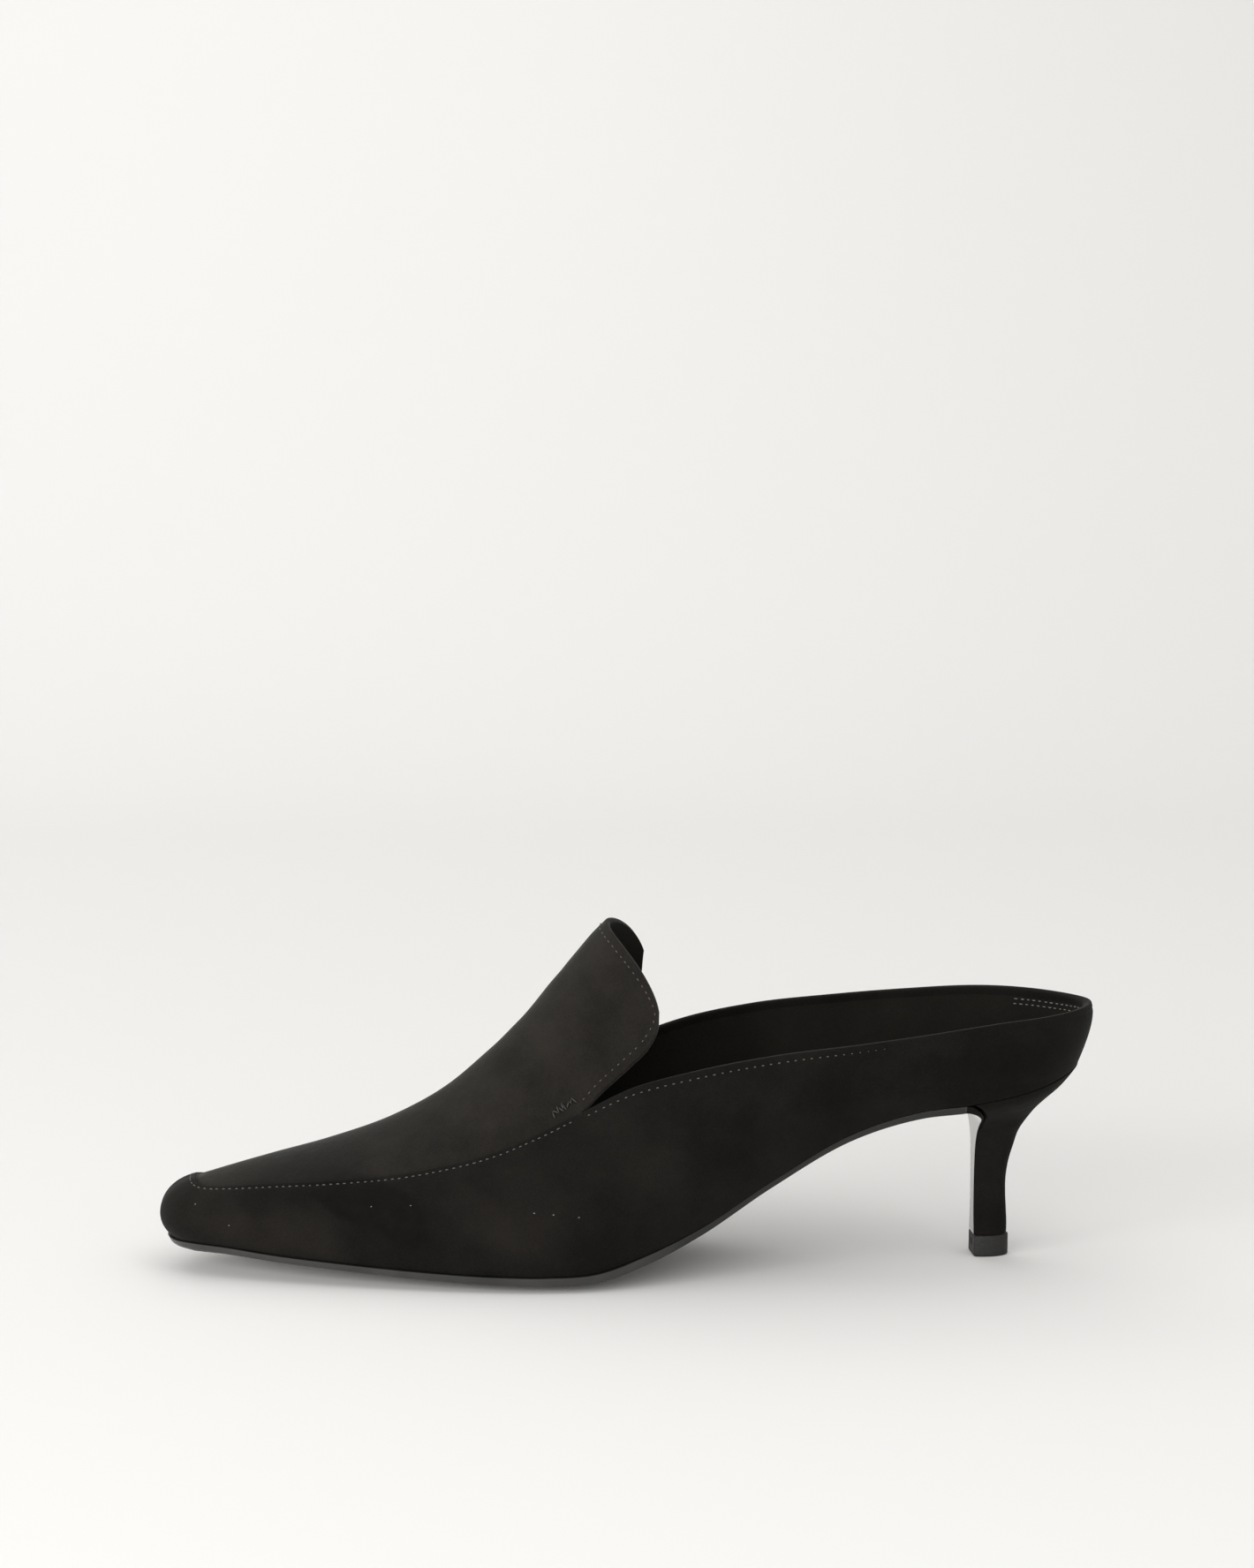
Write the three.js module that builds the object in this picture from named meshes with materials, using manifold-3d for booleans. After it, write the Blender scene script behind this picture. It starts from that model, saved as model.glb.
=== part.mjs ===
import * as THREE from "three";
import { mergeVertices } from "three/addons/utils/BufferGeometryUtils.js";
import Module from "manifold-3d";

// Kitten heel mule, left shoe, in millimetres. The toe points along minus X, plus Z is up.
// The lateral side of the foot is on minus Y and the medial side is on plus Y.

// Main sizes
const LENGTH = 262;
const BALL_WIDTH = 76;
const SEAT_HEIGHT = 56;
const COLLAR_HEIGHT = 73;
const TONGUE_HEIGHT = 97;

// Upper: one wall, with a recess for the apron and a thin lining below it
const LEDGE = 0.6;
const APRON_THICKNESS = 0.9;
const LINING_THICKNESS = 0.8;
const CLEARANCE = 0.3;
const RIM_CROWN = 0.5;
const TONGUE_THICKNESS = 1.8;

// Sole
const INSOLE_THICKNESS = 3;
const EDGE_THICKNESS = 2.3;
const SOLE_OVERHANG = 0.9;
const WAIST_TUCK = 0.6;
const SOLE_BEVEL = 0.7;
const SOLE_CROWN = 3.2;

// Heel
const BREAST_RADIUS = 6;
const TURN_BEFORE_BREAST = 0.125;
const FLAP_THICKNESS = 0.6;
const FLAP_MARGIN = 0.7;
const RECESS_LIP = 0.3;
const TIP_HEIGHT = 6;
const TIP_DEPTH = 10.4;
const TIP_WIDTH = 10;
const DIMPLE_DIAMETER = 2.3;
const DIMPLE_DEPTH = 0.6;

// Mesh fineness
const SPLIT = 3;
const WALL_ROWS = 8;
const INNER_ROWS = 5;

const WALL = LEDGE + APRON_THICKNESS + CLEARANCE + LINING_THICKNESS;

function table(names, rows) {
  const keys = names.split(" ");
  return rows.map((row) => Object.fromEntries(keys.map((key, i) => [key, row[i]])));
}

// Feather line, where the wall meets the sole, from the toe centre to the heel centre.
// along is a share of LENGTH, lateral and medial of BALL_WIDTH, rise of SEAT_HEIGHT.
const FEATHER = table("along lateral medial rise edge", [
  [0.0115, 0.000, 0.000, 0.171, 0.55],
  [0.0137, 0.072, 0.072, 0.171, 0.55],
  [0.0214, 0.132, 0.132, 0.172, 0.58],
  [0.0382, 0.184, 0.182, 0.173, 0.65],
  [0.0687, 0.234, 0.229, 0.168, 0.72],
  [0.1221, 0.305, 0.295, 0.146, 0.76],
  [0.1908, 0.379, 0.361, 0.125, 0.80],
  [0.2672, 0.447, 0.426, 0.104, 0.88],
  [0.3435, 0.497, 0.476, 0.089, 0.95],
  [0.4046, 0.517, 0.482, 0.086, 1.00],
  [0.4542, 0.511, 0.454, 0.100, 1.06],
  [0.5038, 0.482, 0.411, 0.171, 1.15],
  [0.5649, 0.438, 0.359, 0.293, 0.98],
  [0.6412, 0.387, 0.318, 0.504, 0.82],
  [0.7252, 0.342, 0.300, 0.716, 0.82],
  [0.8015, 0.318, 0.308, 0.820, 0.86],
  [0.8550, 0.317, 0.313, 0.850, 0.90],
  [0.9237, 0.282, 0.278, 0.914, 0.72],
  [0.9664, 0.171, 0.168, 0.975, 0.72],
  [0.9828, 0.000, 0.000, 1.000, 0.72],
]);

// Top edge of the wall: the apron seam from the toe to the throat, then the collar.
// along is a share of LENGTH, lateral and medial of BALL_WIDTH, rise of COLLAR_HEIGHT,
// and lift is what the medial side has above the lateral one.
const TOP_EDGE = table("along lateral medial rise lift", [
  [0.0382, 0.000, 0.000, 0.3479, 0.000],
  [0.0385, 0.046, 0.046, 0.3466, 0.000],
  [0.0412, 0.082, 0.082, 0.3384, 0.000],
  [0.0481, 0.108, 0.107, 0.3329, 0.000],
  [0.0706, 0.142, 0.139, 0.3384, 0.000],
  [0.1221, 0.197, 0.193, 0.3575, 0.000],
  [0.1908, 0.253, 0.247, 0.3808, 0.000],
  [0.2672, 0.305, 0.296, 0.4192, 0.000],
  [0.3454, 0.347, 0.334, 0.4932, 0.000],
  [0.3969, 0.368, 0.353, 0.5740, 0.000],
  [0.4389, 0.382, 0.366, 0.6521, 0.000],
  [0.4885, 0.413, 0.393, 0.7425, 0.014],
  [0.5573, 0.434, 0.416, 0.8110, 0.038],
  [0.6412, 0.432, 0.416, 0.8658, 0.049],
  [0.7328, 0.408, 0.395, 0.9000, 0.053],
  [0.8130, 0.382, 0.371, 0.9342, 0.044],
  [0.8779, 0.342, 0.334, 0.9616, 0.034],
  [0.9427, 0.255, 0.250, 0.9767, 0.022],
  [0.9824, 0.134, 0.132, 0.9863, 0.008],
  [0.9969, 0.000, 0.000, 0.9932, 0.000],
]);

// How the wall bulges between both lines: pulls at its foot and at its top,
// outward and along the height, as shares of the height of the wall there.
const BULGE = table("footOut footUp topOut topDown", [
  [0.32, 0.22, 0.72, 0.19],
  [0.32, 0.22, 0.72, 0.19],
  [0.31, 0.22, 0.66, 0.19],
  [0.28, 0.23, 0.54, 0.20],
  [0.24, 0.24, 0.46, 0.22],
  [0.18, 0.26, 0.43, 0.25],
  [0.15, 0.27, 0.39, 0.28],
  [0.13, 0.27, 0.36, 0.30],
  [0.12, 0.27, 0.28, 0.30],
  [0.11, 0.28, 0.21, 0.29],
  [0.10, 0.29, 0.16, 0.28],
  [0.10, 0.30, 0.09, 0.28],
  [0.10, 0.30, 0.05, 0.29],
  [0.11, 0.30, 0.04, 0.29],
  [0.13, 0.30, 0.04, 0.28],
  [0.14, 0.29, 0.05, 0.28],
  [0.14, 0.28, 0.06, 0.27],
  [0.13, 0.27, 0.08, 0.26],
  [0.11, 0.26, 0.10, 0.26],
  [0.10, 0.26, 0.11, 0.26],
]);

const LAST = FEATHER.length - 1;
const CORNER = 3;
const THROAT = 10;
const BREAST = 16;

// Ridge of the apron and tongue, from the apron's front corners on.
// along is a share of LENGTH, aside of BALL_WIDTH, rise of TONGUE_HEIGHT; round is the fullness.
const RIDGE = table("along aside rise round twist sweep", [
  [0.0481, 0.000, 0.267, 0.50, 0.00, 0.00],
  [0.0706, 0.000, 0.285, 0.50, 0.00, 0.00],
  [0.1183, 0.000, 0.321, 0.50, 0.00, 0.00],
  [0.1813, 0.004, 0.366, 0.48, 0.00, 0.00],
  [0.2462, 0.008, 0.427, 0.46, 0.00, 0.00],
  [0.3053, 0.012, 0.515, 0.46, 0.00, 0.00],
  [0.3416, 0.014, 0.597, 0.48, 0.00, 0.00],
  [0.3721, 0.016, 0.676, 0.50, 0.00, 0.00],
  [0.3950, 0.016, 0.744, 0.53, 0.05, 0.10],
  [0.4179, 0.016, 0.822, 0.56, 0.12, 0.20],
  [0.4408, 0.014, 0.896, 0.58, 0.22, 0.30],
  [0.4603, 0.012, 0.958, 0.60, 0.36, 0.45],
  [0.4748, 0.009, 0.996, 0.62, 0.50, 0.60],
]);

// Free side edges of the tongue above the throat, in shares as for the ridge
const TONGUE_EDGE = table("alongLateral lateral riseLateral alongMedial medial riseMedial", [
  [0.4637, 0.372, 0.557, 0.4637, 0.355, 0.557],
  [0.4901, 0.376, 0.623, 0.4905, 0.355, 0.640],
  [0.5092, 0.371, 0.674, 0.5075, 0.342, 0.720],
  [0.5191, 0.355, 0.722, 0.5155, 0.324, 0.798],
  [0.5210, 0.332, 0.771, 0.5165, 0.285, 0.875],
]);

const UP = new THREE.Vector3(0, 0, 1);

// Smooth value at place q of a table whose rows are gaps[i] apart
function through(rows, gaps, key, q) {
  const i = Math.min(Math.max(Math.floor(q), 0), rows.length - 2);
  const f = q - i;
  const rate = (k) => {
    const before = k > 0 ? (rows[k][key] - rows[k - 1][key]) / gaps[k - 1] : null;
    const after = k < rows.length - 1 ? (rows[k + 1][key] - rows[k][key]) / gaps[k] : null;
    if (before === null) return after;
    if (after === null) return before;
    return (before * gaps[k] + after * gaps[k - 1]) / (gaps[k - 1] + gaps[k]);
  };
  const span = gaps[i];
  const f2 = f * f;
  const f3 = f2 * f;
  return (2 * f3 - 3 * f2 + 1) * rows[i][key] + (f3 - 2 * f2 + f) * span * rate(i)
    + (3 * f2 - 2 * f3) * rows[i + 1][key] + (f3 - f2) * span * rate(i + 1);
}

function gapsOf(rows, keys) {
  const gaps = [];
  for (let i = 0; i + 1 < rows.length; i += 1) {
    gaps.push(Math.hypot(...keys.map((key) => rows[i + 1][key] - rows[i][key])));
  }
  return gaps;
}

// One side of the wall in real sizes, with a mirrored row past either end for smooth ends
function sideRows(side) {
  const width = side < 0 ? "lateral" : "medial";
  return FEATHER.map((foot, i) => {
    const top = TOP_EDGE[i];
    const lift = side < 0 ? 0 : top.lift;
    return {
      footX: foot.along * LENGTH,
      footY: side * foot[width] * BALL_WIDTH,
      footZ: foot.rise * SEAT_HEIGHT,
      topX: top.along * LENGTH,
      topY: side * top[width] * BALL_WIDTH,
      topZ: (top.rise + lift) * COLLAR_HEIGHT,
      edge: foot.edge,
      ...BULGE[i],
    };
  });
}

const SIDES = [-1, 1].map((side) => {
  const own = sideRows(side);
  const other = sideRows(-side);
  const rows = [other[1], ...own, other[LAST - 1]];
  return { rows, gaps: gapsOf(rows, ["footX", "footY"]) };
});

// Place on the loop round the foot: 0 at the toe, LAST at the heel, then back on the medial side
function loopValue(key, q) {
  const turn = 2 * LAST;
  const place = ((q % turn) + turn) % turn;
  const lateral = place <= LAST;
  const { rows, gaps } = SIDES[lateral ? 0 : 1];
  return through(rows, gaps, key, 1 + (lateral ? place : turn - place));
}

function footPoint(q) {
  return new THREE.Vector3(loopValue("footX", q), loopValue("footY", q), loopValue("footZ", q));
}

function outward(q) {
  const step = 0.02;
  const run = footPoint(q + step).sub(footPoint(q - step));
  return new THREE.Vector3(run.y, -run.x, 0).normalize();
}

function bezier(a, b, c, d, t) {
  const s = 1 - t;
  return a.clone().multiplyScalar(s * s * s)
    .addScaledVector(b, 3 * s * s * t)
    .addScaledVector(c, 3 * s * t * t)
    .addScaledVector(d, t * t * t);
}

function wallPoint(q, v) {
  const foot = footPoint(q);
  const top = new THREE.Vector3(loopValue("topX", q), loopValue("topY", q), loopValue("topZ", q));
  const out = outward(q);
  const height = top.z - foot.z;
  const low = foot.clone()
    .addScaledVector(out, loopValue("footOut", q) * height)
    .addScaledVector(UP, loopValue("footUp", q) * height);
  const high = top.clone()
    .addScaledVector(out, loopValue("topOut", q) * height)
    .addScaledVector(UP, -loopValue("topDown", q) * height);
  return bezier(foot, low, high, top, v);
}

// Outward normal of a surface given by two places
function normalOf(surface, a, b, lowB, highB) {
  const step = 0.01;
  const b0 = Math.max(b - step, lowB);
  const b1 = Math.min(b + step, highB);
  const alongA = surface(a + step, b).sub(surface(a - step, b));
  const alongB = surface(a, b1).sub(surface(a, b0));
  return alongA.cross(alongB).normalize();
}

// The foot of the wall stands level, so its normal turns level there
const LEVEL_SHARE = 0.22;

function wallNormal(q, v) {
  const normal = normalOf(wallPoint, q, v, 0, 1);
  const share = THREE.MathUtils.smoothstep(v, 0, LEVEL_SHARE);
  return outward(q).lerp(normal, share).normalize();
}

function wallInside(q, v, depth) {
  return wallPoint(q, v).addScaledVector(wallNormal(q, v), -depth);
}

// Side edge of the apron's face: below the ledge up to the throat, then the tongue's free edge
const loopPlace = (side, q) => (side < 0 ? q : 2 * LAST - q);

function tongueRows(side) {
  const name = side < 0 ? "Lateral" : "Medial";
  const seam = [THROAT - 1, THROAT].map((q) => wallInside(loopPlace(side, q), 1, LEDGE));
  const free = TONGUE_EDGE.map((row) => new THREE.Vector3(
    row["along" + name] * LENGTH,
    side * row[name.toLowerCase()] * BALL_WIDTH,
    row["rise" + name] * TONGUE_HEIGHT,
  ));
  return [...seam, ...free];
}

const TONGUE_SIDES = [-1, 1].map((side) => {
  const rows = tongueRows(side);
  return { rows, gaps: gapsOf(rows, ["x", "y", "z"]) };
});

function apronEdge(side, q) {
  if (q <= THROAT) return wallInside(loopPlace(side, q), 1, LEDGE);
  const { rows, gaps } = TONGUE_SIDES[side < 0 ? 0 : 1];
  const place = q - THROAT + 1;
  return new THREE.Vector3(...["x", "y", "z"].map((key) => through(rows, gaps, key, place)));
}

const RIDGE_GAPS = gapsOf(
  RIDGE.map((row) => ({ x: row.along * LENGTH, z: row.rise * TONGUE_HEIGHT })),
  ["x", "z"],
);

function ridgeValue(key, q) {
  return through(RIDGE, RIDGE_GAPS, key, q - CORNER);
}

function ridgePoint(q) {
  return new THREE.Vector3(
    ridgeValue("along", q) * LENGTH,
    ridgeValue("aside", q) * BALL_WIDTH,
    ridgeValue("rise", q) * TONGUE_HEIGHT,
  );
}

const TONGUE_END = CORNER + RIDGE.length - 1;
const QUARTER = 0.55;

// Arch from the lateral edge (s = -1) over the ridge (s = 0) to the medial edge (s = 1)
function apronPoint(q, s) {
  const edge = apronEdge(s < 0 ? -1 : 1, q);
  const ridge = ridgePoint(q);
  const corner = ridge.clone();
  corner.y += ridgeValue("round", q) * (edge.y - ridge.y);
  const swept = corner.clone();
  swept.x = mix(ridge.x, edge.x, ridgeValue("sweep", q));
  corner.x += ridgeValue("twist", q) * (corner.y - ridge.y);
  const low = edge.clone().lerp(swept, QUARTER);
  const high = ridge.clone().lerp(corner, QUARTER);
  return bezier(ridge, high, low, edge, Math.abs(s));
}

function apronNormal(q, s) {
  const step = 0.01;
  const q0 = Math.max(q - step, CORNER);
  const q1 = Math.min(q + step, TONGUE_END);
  const s0 = Math.max(s - step, -1);
  const s1 = Math.min(s + step, 1);
  const alongQ = apronPoint(q1, s).sub(apronPoint(q0, s));
  const alongS = apronPoint(q, s1).sub(apronPoint(q, s0));
  return alongQ.cross(alongS).normalize();
}

function apronInside(q, s, depth) {
  return apronPoint(q, s).addScaledVector(apronNormal(q, s), -depth);
}

// Collects faces of a closed body
class Skin {
  constructor() {
    this.places = [];
    this.faces = [];
    this.known = new Map();
  }

  vertex(point) {
    const key = [point.x, point.y, point.z].map((v) => v.toFixed(4)).join(" ");
    if (!this.known.has(key)) {
      this.known.set(key, this.places.length / 3);
      this.places.push(point.x, point.y, point.z);
    }
    return this.known.get(key);
  }

  face(a, b, c) {
    const [i, j, k] = [a, b, c].map((point) => this.vertex(point));
    if (i !== j && j !== k && k !== i) this.faces.push(i, j, k);
  }

  quad(a, b, c, d) {
    if (a.distanceTo(c) <= b.distanceTo(d)) {
      this.face(a, b, c);
      this.face(a, c, d);
    } else {
      this.face(a, b, d);
      this.face(b, c, d);
    }
  }

  // Rows of points: seen from outside, rows go up and the points in a row go to the right
  sheet(rows, flip = false) {
    for (let r = 0; r + 1 < rows.length; r += 1) {
      for (let c = 0; c + 1 < rows[r].length; c += 1) {
        const corners = [rows[r][c], rows[r][c + 1], rows[r + 1][c + 1], rows[r + 1][c]];
        if (flip) corners.reverse();
        this.quad(...corners);
      }
    }
  }

  geometry() {
    const geometry = new THREE.BufferGeometry();
    geometry.setAttribute("position", new THREE.Float32BufferAttribute(this.places, 3));
    geometry.setIndex(this.faces);
    geometry.computeVertexNormals();
    return geometry;
  }
}

function steps(from, to, count) {
  return Array.from({ length: count + 1 }, (_, i) => from + ((to - from) * i) / count);
}

// Upper
function upperGeometry() {
  const skin = new Skin();
  const loop = steps(0, 2 * LAST, 2 * LAST * SPLIT);
  const outer = steps(0, 1, WALL_ROWS).map((v) => loop.map((q) => wallPoint(q, v)));
  const inner = steps(0, 1, INNER_ROWS).map((v) => loop.map((q) => wallInside(q, v, WALL)));
  skin.sheet(outer);
  skin.sheet(inner, true);
  skin.sheet([inner[0], outer[0]]);

  // Collar rim
  const collar = steps(THROAT, 2 * LAST - THROAT, 2 * (LAST - THROAT) * SPLIT);
  const rimOuter = collar.map((q) => wallPoint(q, 1));
  const rimInner = collar.map((q) => wallInside(q, 1, WALL));
  const crown = (q) => {
    const past = Math.min(q - THROAT, 2 * LAST - THROAT - q);
    return RIM_CROWN * THREE.MathUtils.smoothstep(past, 0, 1);
  };
  const rimTop = collar.map((q) => wallInside(q, 1, WALL / 2).addScaledVector(UP, crown(q)));
  skin.sheet([rimOuter, rimTop, rimInner]);

  // Ledge round the apron, and the recess with its lining
  const floorDepth = LEDGE + APRON_THICKNESS + CLEARANCE;
  const seam = steps(-THROAT, THROAT, 2 * THROAT * SPLIT);
  skin.sheet([seam.map((q) => wallPoint(q, 1)), seam.map((q) => wallInside(q, 1, floorDepth))]);
  const across = steps(-CORNER, CORNER, 2 * CORNER * SPLIT);
  const lengthwise = steps(CORNER, THROAT, (THROAT - CORNER) * SPLIT);
  const recess = (depth) => lengthwise.map((q) => across.map((c) => {
    if (q === CORNER) return wallInside(-c, 1, depth);
    if (c === -CORNER) return wallInside(q, 1, depth);
    if (c === CORNER) return wallInside(2 * LAST - q, 1, depth);
    return apronInside(q, c / CORNER, depth - LEDGE);
  }));
  const floor = recess(floorDepth);
  const ceiling = recess(WALL);
  skin.sheet(floor, true);
  skin.sheet(ceiling);
  skin.sheet([ceiling.at(-1), floor.at(-1)]);
  for (const end of [0, -1]) {
    const q = end === 0 ? THROAT : 2 * LAST - THROAT;
    const corners = [wallPoint(q, 1), rimTop.at(end), rimInner.at(end), wallInside(q, 1, floorDepth)];
    if (end === -1) corners.reverse();
    skin.quad(...corners);
  }
  return skin.geometry();
}

// Apron and tongue, cut in one piece
const STEP_LENGTH = 0.8;
const FREE_AFTER = 1.5;
const NEAR_EDGE = 0.97;

// The tongue leaves the throat just over the rim, its edge still turned like the wall's
function freeEdge(q, s, depth) {
  const freed = THREE.MathUtils.smoothstep(q, THROAT, THROAT + FREE_AFTER);
  const edge = apronPoint(q, s);
  const inward = apronPoint(q, NEAR_EDGE * s).sub(edge).setLength(CLEARANCE * (1 - freed));
  const normal = wallNormal(loopPlace(s, THROAT), 1).lerp(apronNormal(q, s), freed).normalize();
  return edge.add(inward).addScaledVector(normal, -depth);
}

function apronGeometry() {
  const skin = new Skin();
  const across = steps(-CORNER, CORNER, 2 * CORNER * SPLIT);
  const seamRows = steps(CORNER, THROAT, (THROAT - CORNER) * SPLIT);
  const freeRows = steps(THROAT, TONGUE_END, (TONGUE_END - THROAT) * SPLIT);
  const inset = (q) => {
    const place = wallInside(q, 1, LEDGE);
    const below = wallInside(q, NEAR_EDGE, LEDGE);
    return place.add(place.clone().sub(below).setLength(CLEARANCE));
  };
  const rowsAt = (q, depth) => across.map((c) => {
    const s = c / CORNER;
    if (q === CORNER) {
      return inset(-c).addScaledVector(wallNormal(-c, 1), -depth);
    }
    if (Math.abs(c) === CORNER && q <= THROAT) {
      const place = loopPlace(c, q);
      return inset(place).addScaledVector(wallNormal(place, 1), -depth);
    }
    return Math.abs(c) === CORNER ? freeEdge(q, s, depth) : apronInside(q, s, depth);
  });
  const gap = apronPoint(THROAT + 1, 0).distanceTo(apronPoint(THROAT, 0));
  const stepStart = THROAT + (2 * CLEARANCE) / gap;
  const stepEnd = stepStart + STEP_LENGTH / gap;
  const rows = [
    ...seamRows.map((q) => [q, APRON_THICKNESS]),
    [stepStart, APRON_THICKNESS],
    [stepEnd, TONGUE_THICKNESS],
    ...freeRows.slice(1).map((q) => [q, TONGUE_THICKNESS]),
  ];
  const face = rows.map(([q]) => rowsAt(q, 0));
  const back = rows.map(([q, depth]) => rowsAt(q, depth));
  skin.sheet(face, true);
  skin.sheet(back);
  skin.sheet([back[0], face[0]], true);
  skin.sheet([back.at(-1), face.at(-1)]);
  skin.sheet([back.map((row) => row[0]), face.map((row) => row[0])]);
  skin.sheet([back.map((row) => row.at(-1)), face.map((row) => row.at(-1))], true);
  return skin.geometry();
}

// A place on the feather line, moved outward and up
function footAt(q, out, up) {
  return footPoint(q).addScaledVector(outward(q), out).addScaledVector(UP, up);
}

function mix(a, b, share) {
  return a + (b - a) * share;
}

// Solid between two stacked grids of rows across the shoe, with its edges closed.
// The rows start at one point, and rows that don't also end at one are closed by a face.
function slabGeometry(top, bottom) {
  const skin = new Skin();
  skin.sheet(top, true);
  skin.sheet(bottom);
  if (top.at(-1).length === bottom.at(-1).length) skin.sheet([bottom.at(-1), top.at(-1)]);
  skin.sheet([bottom.map((row) => row[0]), top.map((row) => row[0])]);
  skin.sheet([bottom.map((row) => row.at(-1)), top.map((row) => row.at(-1))], true);
  return skin.geometry();
}

// Points from the lateral to the medial side; the middle stands off the straight line by rise
function crossRow(lateral, medial, shares, rise = 0) {
  return shares.map((share) => {
    const point = lateral.clone().lerp(medial, (share + 1) / 2);
    point.z += rise * (1 - share * share);
    return point;
  });
}

// Insole, a board with its sock, inside the foot of the wall
const SOCK_SHARES = [-1, -0.6, 0, 0.6, 1];
const BOARD_SHARES = [-1, 0, 1];
const INSOLE_DISH = 1;

function insoleGeometry() {
  const level = (q, up, shares, dish) => {
    const lateral = footAt(q, -WALL - CLEARANCE, up);
    const medial = footAt(2 * LAST - q, -WALL - CLEARANCE, up);
    return crossRow(lateral, medial, shares, (-dish * lateral.distanceTo(medial)) / BALL_WIDTH);
  };
  const rows = steps(0, LAST, LAST * SPLIT);
  const top = rows.map((q) => level(q, INSOLE_THICKNESS, SOCK_SHARES, INSOLE_DISH));
  const bottom = rows.map((q) => level(q, 0, BOARD_SHARES, 0));
  return slabGeometry(top, bottom);
}

// The sole's edge stands out round the forepart and turns in under the waist
const WAIST_ROWS = 3;

function soleValue(q, forepart, waist) {
  return mix(forepart, waist, THREE.MathUtils.smoothstep(q, THROAT, THROAT + WAIST_ROWS));
}

const soleOver = (q) => soleValue(q, SOLE_OVERHANG, -WAIST_TUCK);
const soleThick = (q) => loopValue("edge", q) * EDGE_THICKNESS;

// The sole turns down the breast of the heel from this place on, round this centre
const TURN_Q = BREAST - TURN_BEFORE_BREAST;
const TURN_THICKNESS = soleThick(TURN_Q);
const TURN = footAt(TURN_Q, 0, -CLEARANCE - TURN_THICKNESS - BREAST_RADIUS);
const BREAST_FACE = TURN.x + BREAST_RADIUS;
const SEAT_BACK = FEATHER[LAST].along * LENGTH;
const HEEL_FOOT = TIP_HEIGHT + CLEARANCE;

// Heel sections from the tip up to the seat: rise is the share of the way up, back of the
// seat's depth, half and flat of the seat's half width. Half is the widest, flat the breast.
const HEEL = table("rise back half flat", [
  [0.00, 0.318, 0.190, 0.175],
  [0.06, 0.318, 0.182, 0.155],
  [0.14, 0.311, 0.172, 0.138],
  [0.23, 0.302, 0.168, 0.130],
  [0.33, 0.304, 0.176, 0.128],
  [0.43, 0.331, 0.198, 0.134],
  [0.51, 0.371, 0.228, 0.146],
  [0.61, 0.430, 0.280, 0.162],
  [0.68, 0.510, 0.345, 0.182],
  [0.77, 0.636, 0.470, 0.235],
  [0.84, 0.756, 0.620, 0.330],
  [0.91, 0.876, 0.800, 0.520],
  [0.96, 0.945, 0.925, 0.790],
  [1.00, 1.000, 1.000, 1.000],
]);
const HEEL_GAPS = gapsOf(HEEL, ["rise"]);

function heelValue(key, rise) {
  const i = Math.max(HEEL.findIndex((row, k) => k > 0 && rise <= row.rise), 1) - 1;
  return through(HEEL, HEEL_GAPS, key, i + (rise - HEEL[i].rise) / HEEL_GAPS[i]);
}

// Quarter of a heel section from the edge of the breast round to the back, as shares
const SIDE_PULL = 0.35;
const SIDE_SWELL = 1.28;
const BACK_SWELL = 1.05;

function sectionPoint(turn, half, flat) {
  const t = Math.min(turn, 1 - turn) * 2;
  const point = bezier(
    new THREE.Vector3(0, flat, 0),
    new THREE.Vector3(SIDE_PULL, half * SIDE_SWELL, 0),
    new THREE.Vector3(1, half * BACK_SWELL, 0),
    new THREE.Vector3(1, 0, 0),
    t,
  );
  if (turn < 0.5) point.y *= -1;
  return point;
}

const SEAT_RING = steps(BREAST, 2 * LAST - BREAST, 2 * (LAST - BREAST) * SPLIT)
  .map((q) => footAt(q, 0, -CLEARANCE));
const SEAT_FRONT = SEAT_RING[0];
const SEAT_HALF = -SEAT_FRONT.y;
const SEAT_SHAPE_FROM = 0.5;
const ROLL_CLEARANCE = 2.2 * CLEARANCE;

// Front of the heel at a height, set back behind the turn of the sole
function heelFront(z, back, gap) {
  const over = Math.max(0, z - TURN.z) / (BREAST_RADIUS + TURN_THICKNESS + gap);
  if (over === 0) return BREAST_FACE + back;
  const across = (BREAST_RADIUS + back + gap) * Math.sqrt(Math.max(0, 1 - over * over));
  return Math.min(BREAST_FACE + back, Math.max(TURN.x + across, SEAT_FRONT.x));
}

function heelHeight(rise, seatZ) {
  return mix(HEEL_FOOT, seatZ, rise);
}

// The cover's front edge is flush with the breast flap, and sets back behind the turned sole
function coverFront(z) {
  const setBack = FLAP_THICKNESS + CLEARANCE;
  const turned = THREE.MathUtils.smoothstep(z, TURN.z - BREAST_RADIUS / 2, TURN.z);
  return heelFront(z, mix(0, setBack, turned), mix(0, ROLL_CLEARANCE, turned));
}

function heelRing(rise) {
  const front = coverFront(heelHeight(rise, SEAT_FRONT.z));
  const back = mix(BREAST_FACE + FLAP_THICKNESS + CLEARANCE, SEAT_BACK, heelValue("back", rise));
  const half = heelValue("half", rise);
  const flat = heelValue("flat", rise);
  const share = THREE.MathUtils.smoothstep(rise, SEAT_SHAPE_FROM, 1);
  return SEAT_RING.map((seat, i) => {
    const column = sectionPoint(i / (SEAT_RING.length - 1), half, flat);
    const x = mix(column.x, (seat.x - SEAT_FRONT.x) / (SEAT_BACK - SEAT_FRONT.x), share);
    const y = mix(column.y * SEAT_HALF, seat.y * half, share);
    return new THREE.Vector3(mix(front, back, x), y, heelHeight(rise, seat.z));
  });
}

// Cap of a ring: rows across from its lateral half to its medial half
function capRows(ring, shares) {
  const half = (ring.length - 1) / 2;
  return steps(0, half, half).map((i) => crossRow(ring[i], ring[ring.length - 1 - i], shares));
}

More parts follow.
